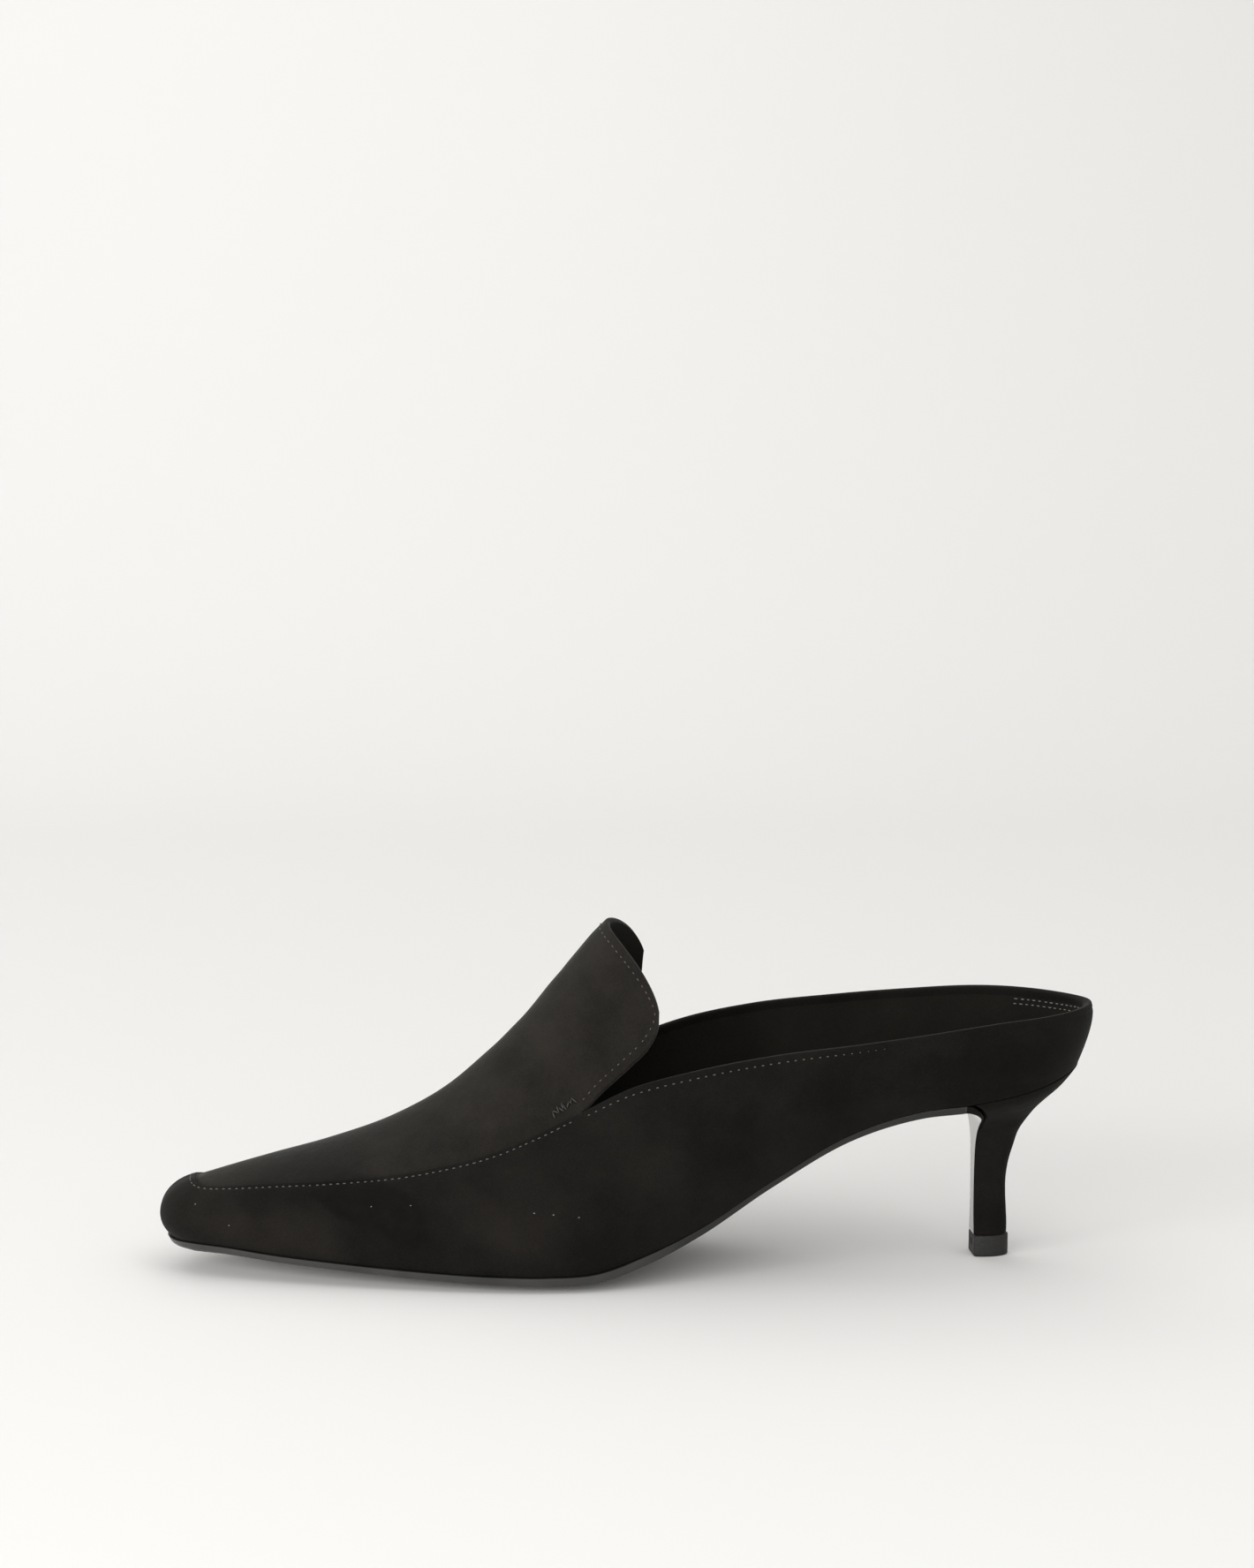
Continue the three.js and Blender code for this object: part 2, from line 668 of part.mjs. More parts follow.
// Upright body of stacked rings that are round behind, with their front rows as given
function columnGeometry(rings, fronts, shares) {
  const skin = new Skin();
  skin.sheet(rings);
  skin.sheet(fronts, true);
  [rings.at(-1), rings[0]].forEach((ring, i) => {
    const front = i === 0 ? fronts.at(-1) : fronts[0];
    skin.sheet([front, ...capRows(ring, shares).slice(1)], i === 0);
  });
  return skin.geometry();
}

const BREAST_SHARES = [-1, -0.5, 0, 0.5, 1];

// Front row of the heel: a lip at either side and the recess for the flap between them
function breastRow(ring) {
  const front = crossRow(ring[0], ring.at(-1), BREAST_SHARES);
  const floor = heelFront(ring[0].z, FLAP_THICKNESS + CLEARANCE, ROLL_CLEARANCE);
  const half = ring.at(-1).y - RECESS_LIP;
  front.slice(1, -1).forEach((point, i) => {
    point.x = floor;
    point.y = (i - 1) * half;
  });
  return front;
}

function heelGeometry() {
  const rings = HEEL.map((row) => heelRing(row.rise));
  return columnGeometry(rings, rings.map(breastRow), BREAST_SHARES);
}

// Rubber tip below the heel, with a round dimple in its front face. Its section swells
// between the breast and the back, so the half at the breast is under half of the width.
const TIP_SIDES = 16;
const TIP_HALF = 0.45;
const DIMPLE_HEIGHT = 0.58;
const DIMPLE_SIDES = 20;

async function topPieceGeometry() {
  const ring = (z) => steps(0, 1, TIP_SIDES).map((turn) => {
    const point = sectionPoint(turn, TIP_HALF, TIP_HALF);
    return new THREE.Vector3(BREAST_FACE + point.x * TIP_DEPTH, point.y * TIP_WIDTH, z);
  });
  const rings = [ring(0), ring(TIP_HEIGHT)];
  const fronts = rings.map((row) => crossRow(row[0], row.at(-1), BREAST_SHARES));
  const block = columnGeometry(rings, fronts, BREAST_SHARES);
  const dimple = new THREE.CylinderGeometry(
    DIMPLE_DIAMETER / 2,
    DIMPLE_DIAMETER / 2,
    2 * DIMPLE_DEPTH,
    DIMPLE_SIDES,
  );
  dimple.rotateZ(Math.PI / 2);
  dimple.translate(BREAST_FACE, 0, DIMPLE_HEIGHT * TIP_HEIGHT);
  return subtract(block, dimple);
}

const wasm = await Module();
wasm.setup();

function solid(geometry) {
  const bare = geometry.clone();
  bare.deleteAttribute("normal");
  bare.deleteAttribute("uv");
  const merged = mergeVertices(bare);
  return new wasm.Manifold(new wasm.Mesh({
    numProp: 3,
    vertProperties: new Float32Array(merged.getAttribute("position").array),
    triVerts: new Uint32Array(merged.index.array),
  }));
}

function subtract(body, tool) {
  const mesh = solid(body).subtract(solid(tool)).getMesh();
  const geometry = new THREE.BufferGeometry();
  geometry.setAttribute("position", new THREE.BufferAttribute(mesh.vertProperties, 3));
  geometry.setIndex(Array.from(mesh.triVerts));
  geometry.computeVertexNormals();
  return geometry;
}

// Outsole: forepart and waist follow the feather line, then a flap turns down the heel's breast
const SOLE_SHARES = [-1, -0.92, -0.62, -0.3, 0.3, 0.62, 0.92, 1];
const CORNER_STEPS = 5;
const FLAP_STEPS = 10;

function soleTopRow(q) {
  const over = soleOver(q);
  return crossRow(
    footAt(q, over, -CLEARANCE),
    footAt(2 * LAST - q, over, -CLEARANCE),
    SOLE_SHARES,
  );
}

// The bottom is crowned across the forepart, flat where it treads, and level under the waist
function soleBottomRow(q) {
  const over = soleOver(q) - SOLE_BEVEL;
  const crown = soleValue(q, SOLE_CROWN, 0) * Math.min(q / CORNER, 1);
  const row = crossRow(
    footAt(q, over, -CLEARANCE - soleThick(q)),
    footAt(2 * LAST - q, over, -CLEARANCE - soleThick(q)),
    SOLE_SHARES,
    -crown,
  );
  row.forEach((point) => {
    point.z = Math.max(point.z, 0);
  });
  return row;
}

function flapRow(x, z, half) {
  return SOLE_SHARES.map((share) => new THREE.Vector3(x, share * half, z));
}

function outsoleGeometry() {
  const rows = [
    ...steps(0, BREAST - 1, (BREAST - 1) * SPLIT),
    ...steps(BREAST - 1, TURN_Q, SPLIT).slice(1),
  ];
  const top = rows.map(soleTopRow);
  const bottom = rows.map(soleBottomRow);
  const flapHalf = (z) => {
    const rise = (z - HEEL_FOOT) / (SEAT_FRONT.z - HEEL_FOOT);
    return -heelRing(rise)[0].y - FLAP_MARGIN;
  };
  const waistHalf = -bottom.at(-1)[0].y;
  for (const angle of steps(0, Math.PI / 2, CORNER_STEPS).slice(1)) {
    const turned = Math.sin(angle);
    const height = Math.cos(angle);
    const z = TURN.z + BREAST_RADIUS * height;
    const outer = BREAST_RADIUS + mix(TURN_THICKNESS, FLAP_THICKNESS, turned);
    const width = mix(waistHalf, flapHalf(z), turned * turned);
    bottom.push(flapRow(TURN.x + BREAST_RADIUS * turned, z, width));
    top.push(flapRow(TURN.x + outer * turned, TURN.z + outer * height, width));
  }
  for (const z of steps(TURN.z, HEEL_FOOT, FLAP_STEPS).slice(1)) {
    bottom.push(flapRow(BREAST_FACE, z, flapHalf(z)));
    top.push(flapRow(BREAST_FACE + FLAP_THICKNESS, z, flapHalf(z)));
  }
  return slabGeometry(top, bottom);
}

function material(color, roughness) {
  return new THREE.MeshStandardMaterial({ color, roughness, metalness: 0 });
}

const suede = () => material(0x23211f, 0.95);
const sockLeather = () => material(0x151413, 0.4);
const soleBlack = () => material(0x2e2e2d, 0.45);
const tipRubber = () => material(0x2d2d2b, 0.6);

const root = new THREE.Group();
root.name = "kitten_heel_mule";

function add(name, geometry, look) {
  const mesh = new THREE.Mesh(geometry, look);
  mesh.name = name;
  root.add(mesh);
}

add("upper", upperGeometry(), suede());
add("apron_tongue", apronGeometry(), suede());
add("insole", insoleGeometry(), sockLeather());
add("outsole", outsoleGeometry(), soleBlack());
add("heel", heelGeometry(), suede());
add("top_piece", await topPieceGeometry(), tipRubber());

// The origin is the middle of the shoe's box, on the floor
const box = new THREE.Box3().setFromObject(root);
const middle = box.getCenter(new THREE.Vector3());
root.children.forEach((mesh) => mesh.geometry.translate(-middle.x, -middle.y, -box.min.z));

export default root;
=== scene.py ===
import math

import bmesh
import bpy
import numpy as np
from mathutils import Matrix, Vector


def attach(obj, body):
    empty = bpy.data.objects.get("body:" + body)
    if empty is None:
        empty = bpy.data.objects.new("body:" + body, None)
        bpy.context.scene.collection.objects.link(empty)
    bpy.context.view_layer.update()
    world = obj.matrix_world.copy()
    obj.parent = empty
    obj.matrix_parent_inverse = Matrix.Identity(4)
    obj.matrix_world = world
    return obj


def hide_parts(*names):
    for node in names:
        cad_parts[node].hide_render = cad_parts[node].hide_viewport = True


# The kitten heel mule. Sizes are in millimetres in the last's own frame, toe tip at x = 0,
# and place() turns them into metres in the row's frame.
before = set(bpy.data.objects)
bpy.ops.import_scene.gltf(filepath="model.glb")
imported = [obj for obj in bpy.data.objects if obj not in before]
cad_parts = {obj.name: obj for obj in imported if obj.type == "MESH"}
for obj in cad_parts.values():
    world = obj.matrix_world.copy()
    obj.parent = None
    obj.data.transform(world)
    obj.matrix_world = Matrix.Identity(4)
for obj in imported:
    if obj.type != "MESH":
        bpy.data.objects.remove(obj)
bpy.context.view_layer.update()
rng = np.random.default_rng(7)

LENGTH, BALL_WIDTH, SEAT_HEIGHT, COLLAR_HEIGHT, TONGUE_HEIGHT = 262, 76, 56, 73, 97
LEDGE, APRON_THICKNESS, LINING_THICKNESS, CLEARANCE = 0.6, 0.9, 0.8, 0.3
RIM_CROWN, TONGUE_THICKNESS = 0.5, 1.8
INSOLE_THICKNESS, INSOLE_DISH = 3, 1
EDGE_THICKNESS, SOLE_OVERHANG, WAIST_TUCK, SOLE_BEVEL, SOLE_CROWN = 2.3, 0.9, 0.6, 0.7, 3.2
BREAST_RADIUS, FLAP_THICKNESS, FLAP_MARGIN, RECESS_LIP = 6, 0.6, 0.7, 0.3
ROLL_CLEARANCE = 2.2 * CLEARANCE
TIP_HEIGHT, TIP_DEPTH, TIP_WIDTH, TIP_HALF = 6, 10.4, 10, 0.45
DIMPLE_DIAMETER, DIMPLE_DEPTH, DIMPLE_HEIGHT, DIMPLE_TAPER = 2.3, 0.6, 0.58, 0.86
WALL = LEDGE + APRON_THICKNESS + CLEARANCE + LINING_THICKNESS
MM = 0.001
CENTRE = np.array([130.808, -1.1915, 0.0])

# Feather line from the toe to the heel: along, lateral, medial, rise, edge
FEATHER = np.array([
    [0.0115, 0.000, 0.000, 0.171, 0.55],
    [0.0137, 0.072, 0.072, 0.171, 0.55],
    [0.0214, 0.132, 0.132, 0.172, 0.58],
    [0.0382, 0.184, 0.182, 0.173, 0.65],
    [0.0687, 0.234, 0.229, 0.168, 0.72],
    [0.1221, 0.305, 0.295, 0.146, 0.76],
    [0.1908, 0.379, 0.361, 0.125, 0.80],
    [0.2672, 0.447, 0.426, 0.104, 0.88],
    [0.3435, 0.497, 0.476, 0.089, 0.95],
    [0.4046, 0.517, 0.482, 0.086, 1.00],
    [0.4542, 0.511, 0.454, 0.100, 1.06],
    [0.5038, 0.482, 0.411, 0.171, 1.15],
    [0.5649, 0.438, 0.359, 0.293, 0.98],
    [0.6412, 0.387, 0.318, 0.504, 0.82],
    [0.7252, 0.342, 0.300, 0.716, 0.82],
    [0.8015, 0.318, 0.308, 0.820, 0.86],
    [0.8550, 0.317, 0.313, 0.850, 0.90],
    [0.9237, 0.282, 0.278, 0.914, 0.72],
    [0.9664, 0.171, 0.168, 0.975, 0.72],
    [0.9828, 0.000, 0.000, 1.000, 0.72],
])

# Top edge of the wall: along, lateral, medial, rise, lift
TOP_EDGE = np.array([
    [0.0382, 0.000, 0.000, 0.3479, 0.000],
    [0.0385, 0.046, 0.046, 0.3466, 0.000],
    [0.0412, 0.082, 0.082, 0.3384, 0.000],
    [0.0481, 0.108, 0.107, 0.3329, 0.000],
    [0.0706, 0.142, 0.139, 0.3384, 0.000],
    [0.1221, 0.197, 0.193, 0.3575, 0.000],
    [0.1908, 0.253, 0.247, 0.3808, 0.000],
    [0.2672, 0.305, 0.296, 0.4192, 0.000],
    [0.3454, 0.347, 0.334, 0.4932, 0.000],
    [0.3969, 0.368, 0.353, 0.5740, 0.000],
    [0.4389, 0.382, 0.366, 0.6521, 0.000],
    [0.4885, 0.413, 0.393, 0.7425, 0.014],
    [0.5573, 0.434, 0.416, 0.8110, 0.038],
    [0.6412, 0.432, 0.416, 0.8658, 0.049],
    [0.7328, 0.408, 0.395, 0.9000, 0.053],
    [0.8130, 0.382, 0.371, 0.9342, 0.044],
    [0.8779, 0.342, 0.334, 0.9616, 0.034],
    [0.9427, 0.255, 0.250, 0.9767, 0.022],
    [0.9824, 0.134, 0.132, 0.9863, 0.008],
    [0.9969, 0.000, 0.000, 0.9932, 0.000],
])

# Bulge of the wall: footOut, footUp, topOut, topDown
BULGE = np.array([
    [0.32, 0.22, 0.72, 0.19],
    [0.32, 0.22, 0.72, 0.19],
    [0.31, 0.22, 0.66, 0.19],
    [0.28, 0.23, 0.54, 0.20],
    [0.24, 0.24, 0.46, 0.22],
    [0.18, 0.26, 0.43, 0.25],
    [0.15, 0.27, 0.39, 0.28],
    [0.13, 0.27, 0.36, 0.30],
    [0.12, 0.27, 0.28, 0.30],
    [0.11, 0.28, 0.21, 0.29],
    [0.10, 0.29, 0.16, 0.28],
    [0.10, 0.30, 0.09, 0.28],
    [0.10, 0.30, 0.05, 0.29],
    [0.11, 0.30, 0.04, 0.29],
    [0.13, 0.30, 0.04, 0.28],
    [0.14, 0.29, 0.05, 0.28],
    [0.14, 0.28, 0.06, 0.27],
    [0.13, 0.27, 0.08, 0.26],
    [0.11, 0.26, 0.10, 0.26],
    [0.10, 0.26, 0.11, 0.26],
])

# Ridge of the apron and tongue: along, aside, rise, round, twist, sweep
RIDGE = np.array([
    [0.0481, 0.000, 0.267, 0.50, 0.00, 0.00],
    [0.0706, 0.000, 0.285, 0.50, 0.00, 0.00],
    [0.1183, 0.000, 0.321, 0.50, 0.00, 0.00],
    [0.1813, 0.004, 0.366, 0.48, 0.00, 0.00],
    [0.2462, 0.008, 0.427, 0.46, 0.00, 0.00],
    [0.3053, 0.012, 0.515, 0.46, 0.00, 0.00],
    [0.3416, 0.014, 0.597, 0.48, 0.00, 0.00],
    [0.3721, 0.016, 0.676, 0.50, 0.00, 0.00],
    [0.3950, 0.016, 0.744, 0.53, 0.05, 0.10],
    [0.4179, 0.016, 0.822, 0.56, 0.12, 0.20],
    [0.4408, 0.014, 0.896, 0.58, 0.22, 0.30],
    [0.4603, 0.012, 0.958, 0.60, 0.36, 0.45],
    [0.4748, 0.009, 0.996, 0.62, 0.50, 0.60],
])

# Free edges of the tongue: along, out and rise on the lateral side, then on the medial side
TONGUE_EDGE = np.array([
    [0.4637, 0.372, 0.557, 0.4637, 0.355, 0.557],
    [0.4901, 0.376, 0.623, 0.4905, 0.355, 0.640],
    [0.5092, 0.371, 0.674, 0.5075, 0.342, 0.720],
    [0.5191, 0.355, 0.722, 0.5155, 0.324, 0.798],
    [0.5210, 0.332, 0.771, 0.5165, 0.285, 0.875],
])

# Heel sections: rise, back, half, flat
HEEL = np.array([
    [0.00, 0.318, 0.190, 0.175],
    [0.06, 0.318, 0.182, 0.155],
    [0.14, 0.311, 0.172, 0.138],
    [0.23, 0.302, 0.168, 0.130],
    [0.33, 0.304, 0.176, 0.128],
    [0.43, 0.331, 0.198, 0.134],
    [0.51, 0.371, 0.228, 0.146],
    [0.61, 0.430, 0.280, 0.162],
    [0.68, 0.510, 0.345, 0.182],
    [0.77, 0.636, 0.470, 0.235],
    [0.84, 0.756, 0.620, 0.330],
    [0.91, 0.876, 0.800, 0.520],
    [0.96, 0.945, 0.925, 0.790],
    [1.00, 1.000, 1.000, 1.000],
])

LAST = len(FEATHER) - 1
LOOP = 2 * LAST
CORNER, THROAT, BREAST = 3, 10, 16
TONGUE_END = CORNER + len(RIDGE) - 1
UP = np.array([0.0, 0.0, 1.0])


class Curve:
    """Smooth values through the rows of a table whose rows are unevenly apart."""

    def __init__(self, rows, gaps):
        self.rows = np.asarray(rows, float)
        self.gaps = np.asarray(gaps, float)
        step = np.diff(self.rows, axis=0) / self.gaps[:, None]
        before, after = self.gaps[:-1, None], self.gaps[1:, None]
        middle = (step[:-1] * after + step[1:] * before) / (before + after)
        self.rate = np.vstack([step[:1], middle, step[-1:]])

    def at(self, q):
        q = np.asarray(q, float)
        i = np.clip(np.floor(q).astype(int), 0, len(self.gaps) - 1)
        f = (q - i)[..., None]
        span = self.gaps[i][..., None]
        f2, f3 = f * f, f * f * f
        return ((2 * f3 - 3 * f2 + 1) * self.rows[i] + (f3 - 2 * f2 + f) * span * self.rate[i]
                + (3 * f2 - 2 * f3) * self.rows[i + 1] + (f3 - f2) * span * self.rate[i + 1])


def spans(points):
    return np.linalg.norm(np.diff(points, axis=0), axis=1)


def unit(v):
    return v / np.maximum(np.linalg.norm(v, axis=-1, keepdims=True), 1e-12)


def smooth(x, low, high):
    t = np.clip((np.asarray(x, float) - low) / (high - low), 0, 1)
    return t * t * (3 - 2 * t)


def mix(a, b, share):
    return a + (b - a) * share


def bell(x, middle, width):
    return np.exp(-(((x - middle) / width) ** 2))


def side_rows(side):
    width = FEATHER[:, 1] if side < 0 else FEATHER[:, 2]
    top_width = TOP_EDGE[:, 1] if side < 0 else TOP_EDGE[:, 2]
    lift = 0 if side < 0 else TOP_EDGE[:, 4]
    return np.column_stack([
        FEATHER[:, 0] * LENGTH, side * width * BALL_WIDTH, FEATHER[:, 3] * SEAT_HEIGHT,
        TOP_EDGE[:, 0] * LENGTH, side * top_width * BALL_WIDTH,
        (TOP_EDGE[:, 3] + lift) * COLLAR_HEIGHT, FEATHER[:, 4], BULGE])


def side_curve(side):
    own, other = side_rows(side), side_rows(-side)
    rows = np.vstack([other[1], own, other[-2]])
    return Curve(rows, spans(rows[:, :2]))


SIDE_CURVES = [side_curve(-1), side_curve(1)]


def loop(q):
    """Values at place q of the loop round the foot: foot, top, edge and the four pulls."""
    place = np.mod(np.asarray(q, float), LOOP)
    lateral = place <= LAST
    local = 1 + np.where(lateral, place, LOOP - place)
    return np.where(lateral[..., None], SIDE_CURVES[0].at(local), SIDE_CURVES[1].at(local))


def outward(q):
    run = loop(np.asarray(q) + 0.02)[..., :3] - loop(np.asarray(q) - 0.02)[..., :3]
    return unit(np.stack([run[..., 1], -run[..., 0], 0 * run[..., 0]], -1))


def bezier(a, b, c, d, t):
    s = 1 - t
    return s ** 3 * a + 3 * s * s * t * b + 3 * s * t * t * c + t ** 3 * d


def wall(q, v):
    q, v = np.broadcast_arrays(np.asarray(q, float), np.asarray(v, float))
    row = loop(q)
    foot, top, out = row[..., 0:3], row[..., 3:6], outward(q)
    height = (top[..., 2] - foot[..., 2])[..., None]
    low = foot + out * row[..., 7:8] * height + UP * row[..., 8:9] * height
    high = top + out * row[..., 9:10] * height - UP * row[..., 10:11] * height
    return bezier(foot, low, high, top, v[..., None])


def wall_normal(q, v):
    q, v = np.broadcast_arrays(np.asarray(q, float), np.asarray(v, float))
    along = wall(q + 0.01, v) - wall(q - 0.01, v)
    rise = wall(q, np.minimum(v + 0.01, 1)) - wall(q, np.maximum(v - 0.01, 0))
    share = smooth(v, 0, 0.22)[..., None]
    return unit(mix(outward(q), unit(np.cross(along, rise)), share))


def wall_in(q, v, depth):
    return wall(q, v) - wall_normal(q, v) * np.asarray(depth, float)[..., None]


def loop_place(side, q):
    return np.where(np.asarray(side) < 0, q, LOOP - np.asarray(q))


def tongue_curve(side):
    columns = slice(0, 3) if side < 0 else slice(3, 6)
    free = TONGUE_EDGE[:, columns] * [LENGTH, side * BALL_WIDTH, TONGUE_HEIGHT]
    seam = wall_in(loop_place(side, np.array([THROAT - 1, THROAT])), 1, LEDGE)
    rows = np.vstack([seam, free])
    return Curve(rows, spans(rows))


TONGUE_CURVES = [tongue_curve(-1), tongue_curve(1)]
RIDGE_CURVE = Curve(RIDGE, spans(RIDGE[:, [0, 2]] * [LENGTH, TONGUE_HEIGHT]))


def apron_edge(side, q):
    seam = wall_in(loop_place(side, np.minimum(q, THROAT)), 1, LEDGE)
    free = TONGUE_CURVES[0 if side < 0 else 1].at(np.maximum(q, THROAT) - THROAT + 1)
    return np.where((q <= THROAT)[..., None], seam, free)


def apron(q, s):
    q, s = np.broadcast_arrays(np.asarray(q, float), np.asarray(s, float))
    edge = np.where((s < 0)[..., None], apron_edge(-1, q), apron_edge(1, q))
    row = RIDGE_CURVE.at(q - CORNER)
    ridge = row[..., :3] * [LENGTH, BALL_WIDTH, TONGUE_HEIGHT]
    corner = ridge.copy()
    corner[..., 1] += row[..., 3] * (edge[..., 1] - ridge[..., 1])
    swept = corner.copy()
    swept[..., 0] = mix(ridge[..., 0], edge[..., 0], row[..., 5])
    corner[..., 0] += row[..., 4] * (corner[..., 1] - ridge[..., 1])
    low, high = mix(edge, swept, 0.55), mix(ridge, corner, 0.55)
    return bezier(ridge, high, low, edge, np.abs(s)[..., None])


def apron_normal(q, s):
    q, s = np.broadcast_arrays(np.asarray(q, float), np.asarray(s, float))
    along = apron(np.minimum(q + 0.01, TONGUE_END), s) - apron(np.maximum(q - 0.01, CORNER), s)
    across = apron(q, np.minimum(s + 0.01, 1)) - apron(q, np.maximum(s - 0.01, -1))
    return unit(np.cross(along, across))


def foot_at(q, out, up):
    q = np.asarray(q, float)
    out, up = np.asarray(out, float), np.asarray(up, float)
    return loop(q)[..., :3] + outward(q) * out[..., None] + UP * up[..., None]


# Meshes
def place(points):
    return (np.asarray(points, float) - CENTRE) * MM


def add_object(name, data):
    thing = bpy.data.objects.new(name, data)
    bpy.context.scene.collection.objects.link(thing)
    return thing


def add_piece(name, mesh):
    """A piece of the one rigid body, attached to the body's root."""
    piece = add_object(name, mesh)
    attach(piece, "root")
    return piece


class Body:
    """Collects sheets of points into one mesh with a few materials."""

    def __init__(self):
        self.points, self.faces, self.looks, self.values = [], [], [], []
        self.count = 0

    def sheet(self, rows, look=0, flip=False, nap_and_painted_light=None):
        rows = np.asarray(rows, float)
        r, c = rows.shape[:2]
        index = self.count + np.arange(r * c).reshape(r, c)
        quads = np.stack([index[:-1, :-1], index[:-1, 1:], index[1:, 1:], index[1:, :-1]], -1)
        quads = quads.reshape(-1, 4)
        if flip:
            quads = quads[:, ::-1]
        self.points.append(rows.reshape(-1, 3))
        self.values.append(np.zeros(r * c) if nap_and_painted_light is None else np.asarray(nap_and_painted_light, float).reshape(-1))
        self.faces.append(quads)
        self.looks.append(np.full(len(quads), look))
        self.count += r * c

    def make(self, name, looks, crease):
        points = place(np.vstack(self.points))
        faces = np.vstack(self.faces)
        mesh = bpy.data.meshes.new(name)
        mesh.from_pydata(points.tolist(), [], faces.tolist())
        mesh.polygons.foreach_set("material_index", np.concatenate(self.looks).astype(np.int32))
        mesh.attributes.new("nap_and_painted_light", "FLOAT", "POINT").data.foreach_set(
            "value", np.concatenate(self.values).astype(np.float32))
        work = bmesh.new()
        work.from_mesh(mesh)
        bmesh.ops.remove_doubles(work, verts=work.verts, dist=JOIN * MM)
        bmesh.ops.dissolve_degenerate(work, edges=work.edges, dist=JOIN * MM / 4)
        work.to_mesh(mesh)
        work.free()
        for look in looks:
            mesh.materials.append(look)
        mesh.shade_smooth()
        mesh.set_sharp_from_angle(angle=math.radians(crease))
        return add_piece(name, mesh)


def eased(low, high, count, ends):
    """Places from low to high, closer together near both ends."""
    t = np.linspace(0, 1, count + 1)
    return mix(low, high, mix(t, smooth(t, 0, 1), ends))


def blob(points, marks):
    """How far each point lies in the listed patches: brushed pile, and a few marks of painted shade and
    painted highlight.
    """
    total = np.zeros(points.shape[:-1])
    for x, y, z, wide, high, lean, strength in marks:
        dx = (points[..., 0] - x + lean * (points[..., 2] - z)) / wide
        dz = (points[..., 2] - z) / high
        same_side = smooth(points[..., 1] * np.sign(y), 0, 8)
        total += strength * same_side * np.exp(-(dx * dx + dz * dz) ** 3)
    return total


# Materials
def node_look(name):
    look = bpy.data.materials.new(name)
    look.use_nodes = True
    tree = look.node_tree
    where = tree.nodes.new("ShaderNodeTexCoord").outputs["Object"]
    return look, tree, tree.nodes["Principled BSDF"], where


def add_node(tree, kind, **values):
    node = tree.nodes.new(kind)
    for key, value in values.items():
        if key in node.inputs:
            node.inputs[key].default_value = value
        else:
            setattr(node, key, value)
    return node


def noise(tree, place_out, scale, detail=3.0, rough=0.5, stretch=None):
    if stretch:
        mapping = tree.nodes.new("ShaderNodeMapping")
        mapping.inputs["Scale"].default_value = stretch
        tree.links.new(place_out, mapping.inputs["Vector"])
        place_out = mapping.outputs["Vector"]
    node = add_node(tree, "ShaderNodeTexNoise", Scale=scale, Detail=detail, Roughness=rough)
    tree.links.new(place_out, node.inputs["Vector"])
    return node.outputs["Fac"]


def spread(tree, source, low, high, to_low, to_high):
    node = add_node(tree, "ShaderNodeMapRange")
    for key, value in zip(("From Min", "From Max", "To Min", "To Max"), (low, high, to_low, to_high)):
        node.inputs[key].default_value = value
    tree.links.new(source, node.inputs["Value"])
    return node.outputs["Result"]


def math_node(tree, kind, a, b):
    node = add_node(tree, "ShaderNodeMath", operation=kind)
    for i, value in enumerate((a, b)):
        if isinstance(value, (int, float)):
            node.inputs[i].default_value = value
        else:
            tree.links.new(value, node.inputs[i])
    return node.outputs["Value"]


def two_colours(tree, factor, dark, light):
    node = add_node(tree, "ShaderNodeMix", data_type="RGBA")
    node.inputs["A"].default_value = (*dark, 1)
    node.inputs["B"].default_value = (*light, 1)
    tree.links.new(factor, node.inputs["Factor"])
    return node.outputs["Result"]


def bump(tree, height, strength, distance, shader=None, below=None):
    node = add_node(tree, "ShaderNodeBump", Strength=strength, Distance=distance * MM)
    tree.links.new(height, node.inputs["Height"])
    if below is not None:
        tree.links.new(below, node.inputs["Normal"])
    if shader is not None:
        tree.links.new(node.outputs["Normal"], shader.inputs["Normal"])
    return node.outputs["Normal"]


def set_inputs(shader, **values):
    for key, value in values.items():
        shader.inputs[key.replace("_", " ")].default_value = value


def colour_by(tree, tone, dark, light, shader):
    """Base colour from dark to light by the tone and the mesh's attribute of brushed patches, which also
    holds painted shade and painted highlight.
    """
    brushed = add_node(tree, "ShaderNodeAttribute", attribute_name="nap_and_painted_light").outputs["Fac"]
    clamp = add_node(tree, "ShaderNodeClamp")
    tree.links.new(math_node(tree, "ADD", tone, brushed), clamp.inputs["Value"])
    colour = two_colours(tree, clamp.outputs["Result"], dark, light)
    tree.links.new(colour, shader.inputs["Base Color"])


def rough_by(tree, source, low, high, shader):
    tree.links.new(spread(tree, source, 0.3, 0.7, low, high), shader.inputs["Roughness"])


def suede_look(name, dark, light, sheen):
    """Short black pile: brushed patches with a few marks of painted shade and painted highlight among
    them, pile grain, soft mottling and a dull sheen.
    """
    look, tree, shader, where = node_look(name)
    wide = noise(tree, where, 45, 3, 0.55)
    middle = noise(tree, where, 240, 4, 0.6)
    pile = noise(tree, where, 2600, 2, 0.6)
    tone = math_node(tree, "ADD", spread(tree, wide, 0.35, 0.65, 0.1, 0.6),
                     spread(tree, middle, 0.35, 0.65, -0.14, 0.14))
    tone = math_node(tree, "ADD", tone, spread(tree, pile, 0.3, 0.7, -0.28, 0.28))
    colour_by(tree, tone, dark, light, shader)
    rough_by(tree, middle, 0.86, 1.0, shader)
    soft = bump(tree, middle, 0.35, 0.5)
    bump(tree, pile, 0.55, 0.16, shader, soft)
    set_inputs(shader, Specular_IOR_Level=0.13, Sheen_Weight=sheen, Sheen_Roughness=0.45,
               Sheen_Tint=(0.92, 0.95, 0.9, 1))
    return look


